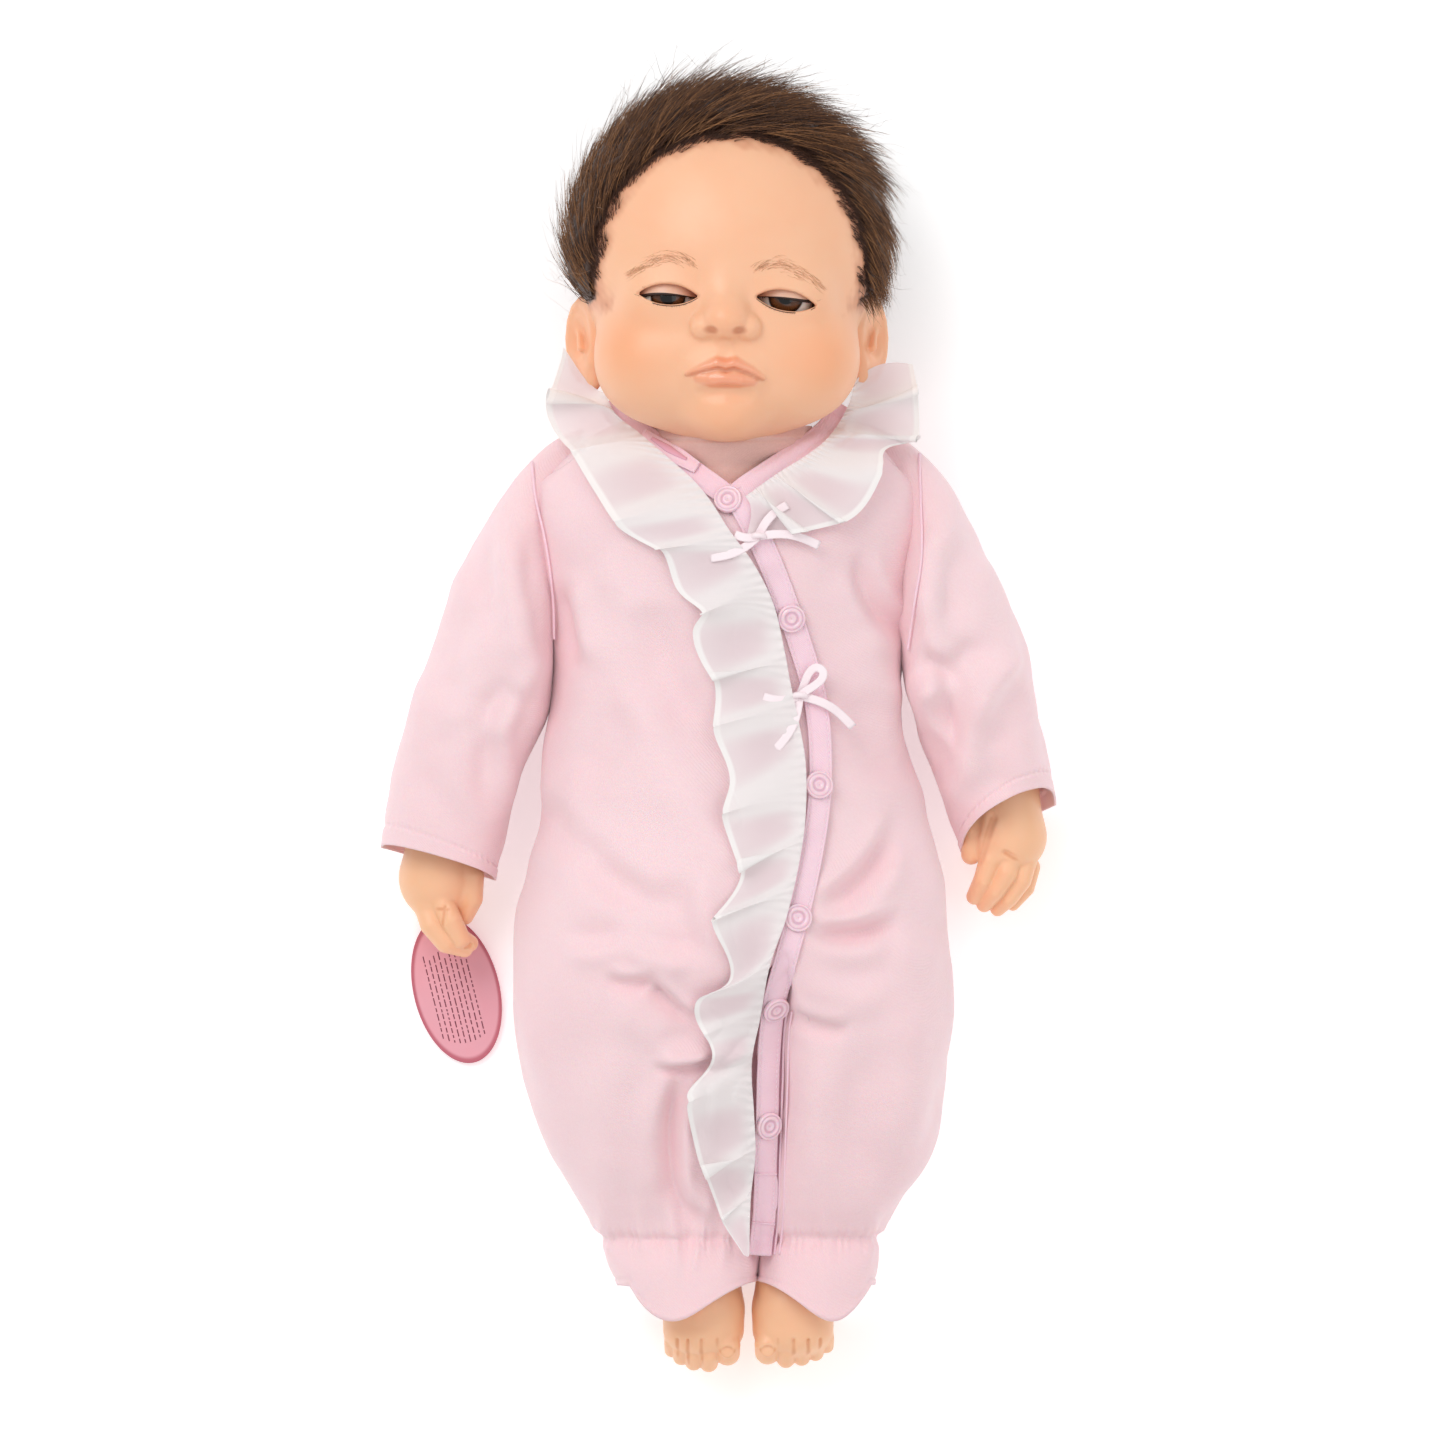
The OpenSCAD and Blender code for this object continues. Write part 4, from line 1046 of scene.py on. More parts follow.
eye_look = Look("acrylic_eye", (250, 246, 240), 0.1, Coat_Weight=0.35, Coat_Roughness=0.02,
                Specular_IOR_Level=0.35, Subsurface_Weight=0.1, Subsurface_Scale=1.0 * MM)
eye_look.over(eye_look.noise(260, 4), (236, 206, 196), 0.25, 0.5, 0.8)
eye_look.over(eye_look.value("iris"), (74, 40, 20), 1.0)
eye_look.over(eye_look.value("fibre"), (134, 80, 38), 0.75)
eye_look.over(eye_look.value("rim"), (26, 13, 8), 0.9)
eye_look.over(eye_look.value("pupil"), (6, 4, 4), 1.0)
IRIS_R, PUPIL_R = 6.6, 3.0
angles = np.concatenate([np.linspace(0.004, 0.75, 90), np.linspace(0.77, PI - 0.004, 60)])
ball_faces = grid_faces(len(angles), BALL_SIDES, wrap_cols=True).tolist()
v, f = joined([(ball_points([side * EYE_X, EYE_Y, EYE_Z], EYE_R - 0.05, angles), ball_faces)
               for side in (-1, 1)])
eyes = mesh_object("eyes", v, f, eye_look.mat, "head")
eye_p = positions_mm(eyes.data)
off = eye_p - np.array([0, EYE_Y, EYE_Z])
off[:, 0] -= np.sign(off[:, 0]) * EYE_X
flat_r = np.hypot(off[:, 0], off[:, 1])
facing_out = off[:, 2] > 0
around = np.arctan2(off[:, 1], off[:, 0])
paint(eyes, "iris", facing_out * (1 - smooth(flat_r, IRIS_R - 0.15, IRIS_R + 0.15)))
paint(eyes, "pupil", facing_out * (1 - smooth(flat_r, PUPIL_R - 0.2, PUPIL_R + 0.2)))
paint(eyes, "rim", facing_out * np.exp(-((flat_r - IRIS_R + 0.35) / 0.6) ** 2))
rays = (0.5 + 0.3 * np.sin(around * 41 + 2 * np.sin(around * 7)) + 0.2 * np.sin(around * 97))
# Iris fibres: radial streaks, made lighter and stronger in the lower half of the iris as painted
# light
lit_lower_half = smooth(-off[:, 1], -3, 5)
paint(eyes, "fibre", facing_out * rays * (0.25 + 0.75 * lit_lower_half)
      * np.exp(-((flat_r - 4.7) / 1.3) ** 2))
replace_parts(eyes, "eyeballs")

LID_R = EYE_R + 1.05
LID_EDGE = math.radians(83.5)
LID_BACK = math.radians(-8)


def lid_point(side, across, swing, radius):
    """A place on a lid: angle to the side of the eye, and swing down from the brow."""
    x = radius * np.sin(across)
    ring = radius * np.cos(across)
    return np.stack([side * EYE_X + x, EYE_Y + ring * np.cos(swing),
                     EYE_Z + ring * np.sin(swing)], -1)


def lid_edge(across, side):
    """Swing of the lid's edge, lower at both corners."""
    own = 0.15 + 0.13 * across if side > 0 else 0.02 + 0.05 * across
    return LID_EDGE + 0.10 * (np.abs(across) / 1.2) ** 2 + own


across, share = np.meshgrid(np.linspace(-1.35, 1.35, 70), np.linspace(0, 1, 46), indexing="ij")
radius = (LID_R - 0.3 + 0.28 * np.clip(np.sin(share * PI / 2), 0, 1)
          + 0.12 * smooth(share, 0.93, 0.98))
parts = []
for _side in (-1, 1):
    swing = LID_BACK + (lid_edge(across, _side) - LID_BACK) * share
    parts.append((lid_point(_side, across, swing, radius).reshape(-1, 3),
                  grid_faces(70, 46).tolist()))
v, f = joined(parts)
lids = mesh_object("lids", v, f, lid_look.mat, "eyelid_set")
thicken(lids, 0.4, 0)
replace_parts(lids, "eyelids")

rng = np.random.default_rng(7)
parts = []
for _side in (-1, 1):
    across = np.linspace(-0.98, 0.98, 40)
    line = lid_point(_side, across, lid_edge(across, _side) + 0.01, LID_R + 0.1)
    width = 0.2 + 0.42 * smooth(across * _side, -0.9, 0.6)
    parts.append(tube_mesh(line, width, 8, 0.8))
    for k in range(34):
        a = rng.uniform(-0.85, 1.02)
        at = np.array([a * _side])
        root = lid_point(_side, at, lid_edge(at, _side), LID_R)[0]
        length = rng.uniform(1.6, 2.6) + 1.7 * smooth(a, 0.5, 1.0)
        lean = _side * (0.15 + 0.9 * max(a, 0)) + rng.normal(0, 0.1)
        t = np.linspace(0, 1, 6)[:, None]
        way = np.array([lean, -0.75 + 0.55 * smooth(a, 0.6, 1.0), 0.55])
        curl = np.array([0.2 * lean, 0.55, 0.35])
        path = root + length * (t * way + t * t * curl * 0.8)
        parts.append(tube_mesh(path, 0.13 * (1.05 - t[:, 0]), 4))
v, f = joined(parts)
mesh_object("upper_lashes", v, f, lash_look.mat, "eyelid_set")

parts = []
for _side in (-1, 1):
    x = _side * EYE_X + np.linspace(-0.97, 0.97, 60) * OPEN_W
    y = almond_rims(_side, x)[1] - 0.55
    z = np.maximum(skin_z(x, y, face, 96, 125), skin_z(x, y - 0.7, face, 96, 125))
    line = np.column_stack([x, y, z + 0.02])
    parts.append(tube_mesh(line, 0.12 + 0.05 * np.sin(np.linspace(0, PI, 60)), 6))
    for k in range(24):
        i = rng.integers(4, 56)
        t = np.linspace(0, 1, 4)[:, None]
        way = np.array([0.3 * (x[i] - _side * EYE_X) / OPEN_W, -0.9, 0.3])
        parts.append(tube_mesh(line[i] + rng.uniform(0.5, 1.1) * t * way,
                               0.05 * (1.1 - t[:, 0]), 4))
v, f = joined(parts)
mesh_object("lower_lash_line", v, f, brow_look.mat, "head")

BROWS = {-1: [(-36.6, 171), (-30.5, 174.4), (-24, 176.4), (-18, 176.2), (-10.5, 173.0)],
         1: [(9.7, 171.2), (15, 173.8), (23.3, 173.2), (30.2, 170.4), (35.8, 166.0)]}
parts = []
for _side, points in BROWS.items():
    for _ in range(150):
        s = rng.uniform(0, 1)
        here, there = spline(points, [s, min(s + 0.04, 1) if s < 0.96 else s - 0.04])
        way = unit((there - here) * (1 if s < 0.96 else -1))
        outward = way * _side
        spread = rng.normal(0, 1.35 * (0.45 + 0.6 * math.sin(PI * min(max(s, 0.05), 0.95))))
        root = here + np.array([-way[1], way[0]]) * spread
        length = rng.uniform(2.6, 4.6)
        t = np.linspace(0, 1, 5)[:, None]
        bend = np.array([0, 0.45 if abs(root[0]) < 22 else -0.25])
        xy = root + length * (t * outward + t * (1 - t) * bend)
        z = skin_z(xy[:, 0], xy[:, 1], face, 90, 125) + 0.06
        parts.append(tube_mesh(np.column_stack([xy, z]), 0.05 * (1.15 - t[:, 0]), 4))
v, f = joined(parts)
mesh_object("brows", v, f, soft_brow.mat, "head")
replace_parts(head, "head_shell")


# ---- hair --------------------------------------------------------------------------

hair_look = Look("rooted_hair_brown", (60, 32, 19), 0.36, Sheen_Weight=0.1,
                 Anisotropic=0.6, Specular_IOR_Level=0.3)
# Lighter brown strands: a random tone mix, partly painted sheen at the sides of the head
hair_look.over(hair_look.value("tone"), (182, 128, 82), 0.95)
# Painted shade near the scalp: each strand darker towards its root, and the hair base darker as a
# whole
hair_look.over(hair_look.value("root"), (34, 18, 12), 0.55)
hair_look.bump(hair_look.noise(900, 2), 0.03)

CROWN = np.array([4.0, 184.0, 58.0])


def drop(shape, p, lift, rounds):
    """Moves points to a given height over a surface."""
    for _ in range(rounds):
        g = slope_of(shape, p)
        p = p - ((shape(p) - lift) / np.maximum((g * g).sum(1), 0.25))[:, None] * g
    return p


def comb(p):
    """Direction in which the hair is combed: from the right of the doll over the crown."""
    x, y, z = p.T
    sweep = smooth(x, -62, 30)
    way = np.stack([0.75 + 0.35 * sweep, 0.95 - 1.75 * sweep, -0.35 - 0.25 * sweep], 1)
    left = smooth(x, 30, 58)[:, None]
    way = way * (1 - left) + np.array([0.15, -1.0, -0.75]) * left
    low_right = (smooth(-x, 30, 56) * smooth(-y, -190, -165))[:, None]
    way = way * (1 - low_right) + np.array([0.1, 0.9, -0.55]) * low_right
    back = smooth(-z, -46, -20)[:, None]
    return way * (1 - back) + np.array([0.2, -1.0, 0.0]) * back


def scatter(count, seed):
    """Places on the scalp, spread evenly."""
    local = np.random.default_rng(seed)
    found = []
    total = 0
    while total < count:
        way = unit(local.normal(size=(count * 2, 3)))
        p = drop(skull, CROWN + way * 58, 0.0, 5)
        p = p[scalp(p) > 0.6]
        found.append(p)
        total += len(p)
    return np.vstack(found)[:count]


def grow(roots, seed, steps, length, lift, wander, frizz):
    """Paths of strands from their roots: each follows the comb over the head."""
    local = np.random.default_rng(seed)
    n = len(roots)
    reach = length[:, None] / steps
    p = roots.copy()
    path = [p.copy()]
    sway = local.normal(size=(n, 3)) * wander
    for k in range(1, steps + 1):
        way = comb(p) + sway + local.normal(size=(n, 3)) * frizz
        g = unit(slope_of(skull, p))
        way = unit(way - (way * g).sum(1)[:, None] * g)
        p = p + way * reach
        p = drop(skull, p, 0.4 + lift * (k / steps) ** 0.8, 2)
        p[:, 2] = np.maximum(p[:, 2], 0.8)
        path.append(p.copy())
    return np.stack(path, 1)


def strands(name, paths, width, tone):
    """One mesh of three-sided strands that thin towards their tips."""
    n, m = paths.shape[:2]
    tangent = unit(np.gradient(paths, axis=1))
    g = unit(slope_of(skull, paths.reshape(-1, 3))).reshape(n, m, 3)
    side = unit(np.cross(tangent, g))
    s = np.linspace(0, 1, m)
    thick = width[:, None] * (1.0 - 0.75 * s ** 1.5)[None]
    a = np.radians([90, 210, 330])
    ring = (paths[:, :, None] + thick[..., None, None]
            * (np.cos(a)[None, None, :, None] * side[:, :, None]
               + 0.7 * np.sin(a)[None, None, :, None] * g[:, :, None]))
    one = grid_faces(m, 3, wrap_cols=True)
    faces = (one[None] + (np.arange(n) * m * 3)[:, None, None]).reshape(-1, 4)
    obj = mesh_object(name, ring.reshape(-1, 3), faces, hair_look.mat, "head")
    paint(obj, "tone", np.repeat(tone, m * 3))
    # Painted shade over the first quarter of each strand, next to the scalp
    paint(obj, "root", np.tile(np.repeat(1 - smooth(s, 0, 0.25), 3), n))


def hair_piece(name, count, seed, steps, lengths, lifts, widths, wander, frizz, keep=None):
    local = np.random.default_rng(seed + 1)
    roots = scatter(count, seed)
    if keep is not None:
        roots = roots[keep(roots)]
    n = len(roots)
    lump = ripple(roots, 77, 9, 6)
    length = local.uniform(*lengths, n) * (1 + 0.15 * lump)
    over_ear = smooth(roots[:, 0], 40, 52) * smooth(-roots[:, 1], -184, -164)
    length *= 1 - 0.65 * over_ear * smooth(roots[:, 2], 36, 52)
    lift = local.uniform(*lifts, n) * (1 + 0.3 * ripple(roots, 78, 12, 6))
    lift *= 1 + 0.75 * smooth(roots[:, 1], 205, 232)
    paths = grow(roots, seed + 2, steps, length, np.maximum(lift, 0.2), wander, frizz)
    # Lighter strands at random, with more of them towards the sides of the head as painted sheen
    light_strand_and_sheen = local.random(n) < 0.36 + 0.34 * smooth(np.abs(roots[:, 0]), 36, 58)
    tone = np.clip(0.1 + 0.12 * lump + 0.75 * light_strand_and_sheen * local.random(n), 0, 1)
    strands(name, paths, local.uniform(*widths, n), tone)


# Base of the hair, combed in fine grooves
rows_n, cols_n = 190, 320
th = np.linspace(0.02, PI - 0.02, rows_n)
ph = np.linspace(0, 2 * PI, cols_n, endpoint=False)
TH, PH = np.meshgrid(th, ph, indexing="ij")
ways = np.stack([np.sin(TH) * np.cos(PH), np.cos(TH), np.sin(TH) * np.sin(PH)], -1).reshape(-1, 3)
cap = drop(skull, CROWN + ways * 56, 0.0, 6)
cover = scalp(cap)
flow = unit(comb(cap))
groove = np.cross(flow, unit(slope_of(skull, cap)))
phase = (cap * groove).sum(1)
comb_lines = 0.35 * np.sin(phase * 2.2 + 2.2 * ripple(cap, 81, 20)) + 0.3 * ripple(cap, 83, 6)
cap_lift = 0.2 + 3.2 * smooth(cover, 0, 9) + comb_lines * smooth(cover, 2, 8)
cap = drop(skull, cap, cap_lift, 4)
cap_faces = grid_faces(rows_n, cols_n, wrap_cols=True)
cap_faces = cap_faces[(cover[cap_faces] > 2.0).all(1)]
used, renum = np.unique(cap_faces, return_inverse=True)
hair_base = mesh_object("hair_base", cap[used], renum.reshape(-1, 4), hair_look.mat, "head")
paint(hair_base, "tone", np.full(len(used), 0.05))
# The base lies under the strands and mostly takes the root's painted shade
paint(hair_base, "root", np.full(len(used), 0.75))
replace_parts(hair_base, "hair_cap")

hair_piece("hair_under", 7200, 101, 7, (12, 22), (3.0, 5.5), (0.16, 0.26), 0.14, 0.10)
hair_piece("hair_top", 7600, 202, 8, (16, 30), (4.5, 8.2), (0.13, 0.22), 0.18, 0.13)
hair_piece("hair_edge", 5200, 303, 6, (7, 15), (1.0, 4.5), (0.12, 0.2), 0.2, 0.12,
           keep=lambda p: scalp(p) < 7)
hair_piece("hair_flyaway", 900, 404, 9, (18, 34), (8, 14), (0.07, 0.12), 0.5, 0.2,
           keep=lambda p: p[:, 2] > 20)


def hairline_roots(count, seed):
    """Places in a narrow strip on both sides of the front hairline."""
    local = np.random.default_rng(seed)
    way = unit(np.column_stack([local.normal(size=(count, 2)), local.uniform(0.05, 1.6, count)]))
    p = drop(skull, CROWN + way * 58, 0.0, 5)
    edge = scalp(p)
    return p[(edge > -1.6) & (edge < 1.6) & (p[:, 2] > 50) & (p[:, 1] > 168)]


roots = hairline_roots(26000, 505)
local = np.random.default_rng(506)
n = len(roots)
paths = grow(roots, 507, 4, local.uniform(2.5, 5.5, n), local.uniform(0.5, 1.6, n), 0.15, 0.06)
strands("hair_roots", paths, local.uniform(0.10, 0.17, n), np.full(n, 0.02))


# ---- front band, collar, snaps, bows and ruffle ---------------------------------------

def neck_ring_z(x, y):
    ring = NECK[2] + np.sqrt(np.maximum(27.6 ** 2 - np.asarray(x, float) ** 2, 0))
    return np.where(np.asarray(y) > 84, ring, 0)


def cover_z(x, y):
    """Height of whatever the trim lies on: the suit, or the neck under the collar."""
    x, y = np.broadcast_arrays(np.asarray(x, float), np.asarray(y, float))
    bridged = np.maximum(cloth_z(x - 8, y) - 1.2, cloth_z(x - 15, y) - 4.0)
    return np.maximum(np.maximum(cloth_z(x, y), bridged), neck_ring_z(x, y))


def ribbon_strip(centre, widths, count, across, lift):
    """Grid of points of a slightly wavy band along a plan line, lying on the suit."""
    s = np.linspace(0, 1, count)
    line = spline(centre, s)
    width = np.interp(s, np.linspace(0, 1, len(widths)), widths)
    way = unit(np.gradient(line, axis=0))
    normal = np.stack([-way[:, 1], way[:, 0]], 1)
    u = np.linspace(-1, 1, across)
    xy = line[:, None] + normal[:, None] * (u[None, :, None] * width[:, None, None] / 2)
    z = cover_z(xy[..., 0], xy[..., 1]) + lift + 0.45 * (1 - u[None] ** 2)
    z = z + 0.25 * ripple(xy.reshape(-1, 2), 3, 13).reshape(z.shape)
    return np.concatenate([xy, z[..., None]], -1)


def band(name, centre, widths, count, lift, across, body=None, look=band_look, thick=CLOTH):
    """A bound strip on the suit, with a stitched groove along both edges."""
    grid = ribbon_strip(centre, widths, count, across, lift)
    u = np.linspace(-1, 1, across)
    groove = -0.28 * np.exp(-((np.abs(u) - 0.76) / 0.07) ** 2)
    grid[..., 2] += groove[None]
    obj = mesh_object(name, grid.reshape(-1, 3), grid_faces(count, across)[:, ::-1], look.mat,
                      body)
    thicken(obj, thick, -1)
    if not body:
        with_legs(obj)
    return obj, grid


PLACKET_LINE = [(opening_x(np.array([float(y)]))[0], y)
                for y in (88, 76, 62, 48, 30, 10, -10, -30, -50, -70, -90, -110, -130, -150,
                          -170, -190, -206)]
placket, placket_grid = band("placket", PLACKET_LINE, [9.4, 8.8, 8.6, 8.6], 300, 1.5, 25)
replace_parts(placket, "placket_upper", "placket_lower")

LEFT_BINDING = [(3.5, 83.0), (-2.7, 88.0), (-12, 94.5), (-22, 101.5), (-31, 108.5), (-40, 115.5),
                (-46, 122)]
RIGHT_BINDING = [(0.5, 83.5), (6.0, 88.5), (15, 94.5), (25, 101.0), (33.5, 107.0), (40, 113),
                 (45, 121)]
band("binding_right_side", RIGHT_BINDING, [8.2, 9.0, 9.4], 90, 1.3, 21, "torso")
band("binding_left_side", LEFT_BINDING, [8.2, 9.2, 9.6], 90, 1.8, 21, "torso")
band("loop_tab", [(-11.5, 96.8), (-19, 101.2), (-26, 105.4), (-32.5, 110)],
     [4.6, 6.4, 6.4, 4.8], 40, 3.6, 15, "torso", thick=1.0)
# The inside of the loop tab: a dark strip of painted shadow
band("loop_tab_inside", [(-15.5, 99.9), (-22, 103.7), (-29, 108.2)],
     [1.2, 3.0, 1.4], 24, 4.1, 7, "torso", seam_shadow_look, 0.3)

# Two cross seams near the placket's end, and the seams and fold of the leg's slit
parts = [tube_mesh(row + [0, 0, 0.35], 0.4, 6) for row in placket_grid[[268, 287]]]
slit_y = np.linspace(-112, -206, 90)
for shift, r in ((5.4, 0.45), (7.3, 0.4)):
    x = opening_x(slit_y) + shift
    parts.append(tube_mesh(np.column_stack([x, slit_y, front_z(x, slit_y) + 0.7]), r, 8))
v, f = joined(parts)
with_legs(mesh_object("leg_slit_seams", v, f, band_look.mat))
# The slit's fold: a dark tube of painted shadow along the placket's edge
gap_x = opening_x(slit_y) + 4.7
v, f = tube_mesh(np.column_stack([gap_x, slit_y, front_z(gap_x, slit_y) + 0.35]), 0.7, 8, 0.5)
with_legs(mesh_object("leg_slit_fold", v, f, seam_shadow_look.mat))


def stitches(name, line, step, size):
    """Short raised stitches one after another along a line."""
    length = np.concatenate([[0], np.cumsum(np.linalg.norm(np.diff(line, axis=0), axis=1))])
    found = []
    for start in np.arange(0, length[-1] - step, step):
        at = np.linspace(start, start + 0.62 * step, 5)
        path = np.column_stack([np.interp(at, length, line[:, k]) for k in range(3)])
        path[:, 2] += size * 0.6 * np.sin(np.linspace(0, PI, 5))
        found.append(tube_mesh(path, size * np.array([0.5, 0.9, 1, 0.9, 0.5]), 5))
    v, f = joined(found)
    with_legs(mesh_object(name, v, f, stitch_look.mat))


for k, col in enumerate((3, 21)):
    stitches(f"placket_stitches_{k + 1}", placket_grid[:, col] + [0, 0, 0.12], 2.1, 0.17)


# Ring snaps: a turned disc with a rim, a ring and a dimple
SNAP_PROFILE = [(0.0, 1.15), (0.5, 1.1), (0.9, 1.35), (1.5, 1.6), (2.0, 1.35), (2.5, 1.2),
                (3.0, 1.75), (3.5, 1.9), (4.0, 1.55), (4.3, 1.35), (4.8, 1.75), (5.2, 1.6),
                (5.4, 1.1), (5.4, 0.0)]
SNAPS = [(0.4, 84.3), (24.6, 38.9), (35.2, -25.0), (27.2, -75.8), (18.6, -110.9), (15.9, -156.0)]


def snap(name, x, y):
    sides = 56
    profile = np.array(SNAP_PROFILE)
    a = np.arange(sides) * 2 * PI / sides
    ring = np.stack([profile[:, 0, None] * np.cos(a), profile[:, 0, None] * np.sin(a),
                     np.repeat(profile[:, 1, None], sides, 1)], -1).reshape(-1, 3)
    h = 4.0
    zx = (cover_z(x + h, y) - cover_z(x - h, y)) / (2 * h)
    zy = (cover_z(x, y + h) - cover_z(x, y - h)) / (2 * h)
    up = unit(np.array([-float(zx), -float(zy), 1.0]))
    side = unit(np.cross([0, 1.0, 0], up))
    turn = np.stack([side, np.cross(up, side), up], 1)
    p = ring @ turn.T + [x, y, float(cover_z(x, y)) + 1.9]
    obj = mesh_object(name, p, grid_faces(len(profile), sides, wrap_cols=True), snap_look.mat)
    # Painted shade on the profile rings that lie in the grooves and the dimple
    groove = np.isin(np.arange(len(profile)), (0, 4, 5, 9)).astype(float)
    paint(obj, "groove", np.repeat(groove, sides))
    if y > -60:
        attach(obj, "torso")
    else:
        with_legs(obj)
    return obj


first = [snap(f"snap_{i + 1}", x, y) for i, (x, y) in enumerate(SNAPS)]
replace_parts(first[0], "snaps_upper", "snaps_lower")


def bow(name, knot, tails, loops):
    """A ribbon bow: loops and tails are plan places that the ribbon runs out to."""
    found = []
    width = 3.3
    kx, ky = knot
    kz = float(cover_z(kx, ky)) + 3.8

    def strip(path, w):
        way = unit(np.gradient(path, axis=0))
        side = unit(np.cross(way, [0, 0, 1.0]))
        u = np.linspace(-1, 1, 7)
        grid = path[:, None] + side[:, None] * (u[None, :, None] * w / 2)
        thick = 0.16 * np.cross(side, way)
        top, bottom = grid + thick[:, None], grid - thick[:, None]
        ring = np.concatenate([top, bottom[:, ::-1]], 1)
        n, m = ring.shape[:2]
        faces = grid_faces(n, m, wrap_cols=True).tolist()
        faces.append(list(range(m))[::-1])
        faces.append(list(range((n - 1) * m, n * m)))
        return ring.reshape(-1, 3), faces

    for tx, ty in tails:
        s = np.linspace(0, 1, 22)
        bend = np.array([-(ty - ky), tx - kx]) * 0.10
        xy = np.array([kx, ky]) + s[:, None] * (np.array([tx, ty]) - [kx, ky]) \
            + (np.sin(s * PI))[:, None] * bend
        floor_z = cover_z(xy[:, 0], xy[:, 1]) + 3.0
        z = floor_z + 0.8 + 1.1 * np.sin(s * PI) + 0.5 * s
        found.append(strip(np.column_stack([xy, z]), width))
    for lx, ly in loops:
        s = np.linspace(0, 1, 40)
        out = np.sin(s * PI) ** 0.8
        bend = np.array([-(ly - ky), lx - kx]) * 0.20
        xy = np.array([kx, ky]) + out[:, None] * (np.array([lx, ly]) - [kx, ky]) \
            + np.sin(s * 2 * PI)[:, None] * bend
        z = np.maximum(kz, cover_z(xy[:, 0], xy[:, 1]) + 3.6)
        z = z + 1.3 * np.sin(s * PI) - 0.9 * np.cos(s * PI)
        found.append(strip(np.column_stack([xy, z]), width * 0.95))
    a = np.linspace(0, 2 * PI, 24)
    ring = np.column_stack([kx + 2.1 * np.cos(a), np.full(24, ky) + 0.4 * np.sin(a),
                            kz + 0.6 + 1.9 * np.sin(a)])
    found.append(tube_mesh(ring, 1.15, 10))
    v, f = joined(found)
    return mesh_object(name, v, f, ribbon_look.mat, "torso")


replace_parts(bow("bow_high", (12.0, 70.3), [(-6.3, 62.0), (35.3, 66.7), (23.2, 82.4), (3, 71)],
                []),
            "bow_upper")
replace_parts(bow("bow_low", (27.8, 9.2), [(13.9, 8.9), (48.3, -2.8), (18.7, -11.4)],
                [(36, 19.5)]), "bow_lower")

# Ruffle: seam line against outer line, pleated between them
RUFFLE_LEFT_SEAM = [(-47, 126), (-43, 118), (-34, 110.5), (-23, 101), (-12, 91), (-6, 83.5),
                    (0.2, 73.7), (10.5, 59.3), (17.7, 44.8), (21.9, 27.3), (24.4, 13.9),
                    (27.5, -0.6), (30.1, -16), (30.0, -38.5), (27.6, -55), (22.7, -75.8),
                    (16.3, -94.7), (12.7, -114.8), (9.6, -131), (10.4, -151), (11.0, -166),
                    (9.2, -184), (8.6, -204)]
RUFFLE_LEFT_OUT = [(-64.3, 137), (-69, 117), (-60, 103), (-51, 88), (-41, 73.5), (-24, 62),
                   (-20, 52), (-10.4, 40.4), (-12.3, 29), (-4.6, 11.6), (-5.0, -3.9), (1.0, -22),
                   (-1.5, -36), (4.2, -62), (-4.6, -77), (1.2, -98), (-12.3, -110),
                   (-5.8, -130), (-14.2, -143), (-12.3, -164), (-6.5, -180), (-1, -194),
                   (6, -205)]
RUFFLE_RIGHT_SEAM = [(7, 85.5), (13, 90), (21, 95.5), (29, 100.5), (37, 106.5), (43, 114),
                     (47, 122), (49, 130)]
RUFFLE_RIGHT_OUT = [(14, 70), (32, 72.5), (50, 79), (58.5, 92), (62, 104), (72.4, 108),
                    (73.5, 124), (71, 140)]


def ruffle(name, seam, outer, seed, pleats, period, body=None):
    """A pleated sheer strip, gathered along its seam line and free at its outer line."""
    rng = np.random.default_rng(seed)
    count, across = pleats * 44, 34
    s = np.linspace(0, 1, count)
    seam_line, out_line = spline(seam, s), spline(outer, s)
    v = np.linspace(0, 1, across)
    xy = seam_line[:, None] + (out_line - seam_line)[:, None] * v[None, :, None]
    way = unit(np.gradient(out_line, axis=0))
    base = 2 * PI * pleats * s + 1.1 * np.sin(2 * PI * s * pleats * 0.37 + rng.uniform(0, 6))
    phase = base[:, None] - 1.9 * v[None]
    depth = 0.75 + 0.35 * np.sin(2 * PI * s * pleats * 0.23 + 1.0)
    grow_out = v ** 0.75
    slide = 0.27 * period * np.cos(phase) * depth[:, None] * grow_out[None]
    xy = xy + way[:, None] * slide[..., None]
    fold = np.sin(phase) * depth[:, None] * grow_out[None]
    pucker = 0.55 * np.sin(s * pleats * 2 * PI * 6.3)[:, None] * np.exp(-v / 0.13)[None]
    sharp = 0.9 * np.sin(2 * phase + 0.9) * (v * np.exp(-v / 0.5))[None]
    z = cover_z(xy[..., 0], xy[..., 1])
    collar = smooth(xy[..., 1], 86, 118)
    z = np.maximum(z, 55 - 21 * smooth(xy[..., 1], 104, 124) + 5 * collar * (1 - v[None]) ** 1.5)
    z = z + 2.2 + 3.6 * (fold + 0.85) + pucker + 1.4 * sharp + 0.9 * (v[None] ** 2)
    grid = np.concatenate([xy, z[..., None]], -1)
    obj = mesh_object(name, grid.reshape(-1, 3), grid_faces(count, across), sheer_look.mat,
                      body)
    tail = np.repeat(v[None], count, 0).ravel()
    paint(obj, "hem", smooth(tail, 0.925, 0.94))
    # Painted shade in the low folds of the pleats, away from the seam and strongest mid-strip
    paint(obj, "pleat_valley_shade", (smooth(-np.sin(phase), 0.1, 1.0) * smooth(v, 0, 0.3)[None]).ravel()
          * (0.5 + 0.5 * np.exp(-((tail - 0.5) / 0.4) ** 2)))
    if not body:
        with_legs(obj)
    return obj


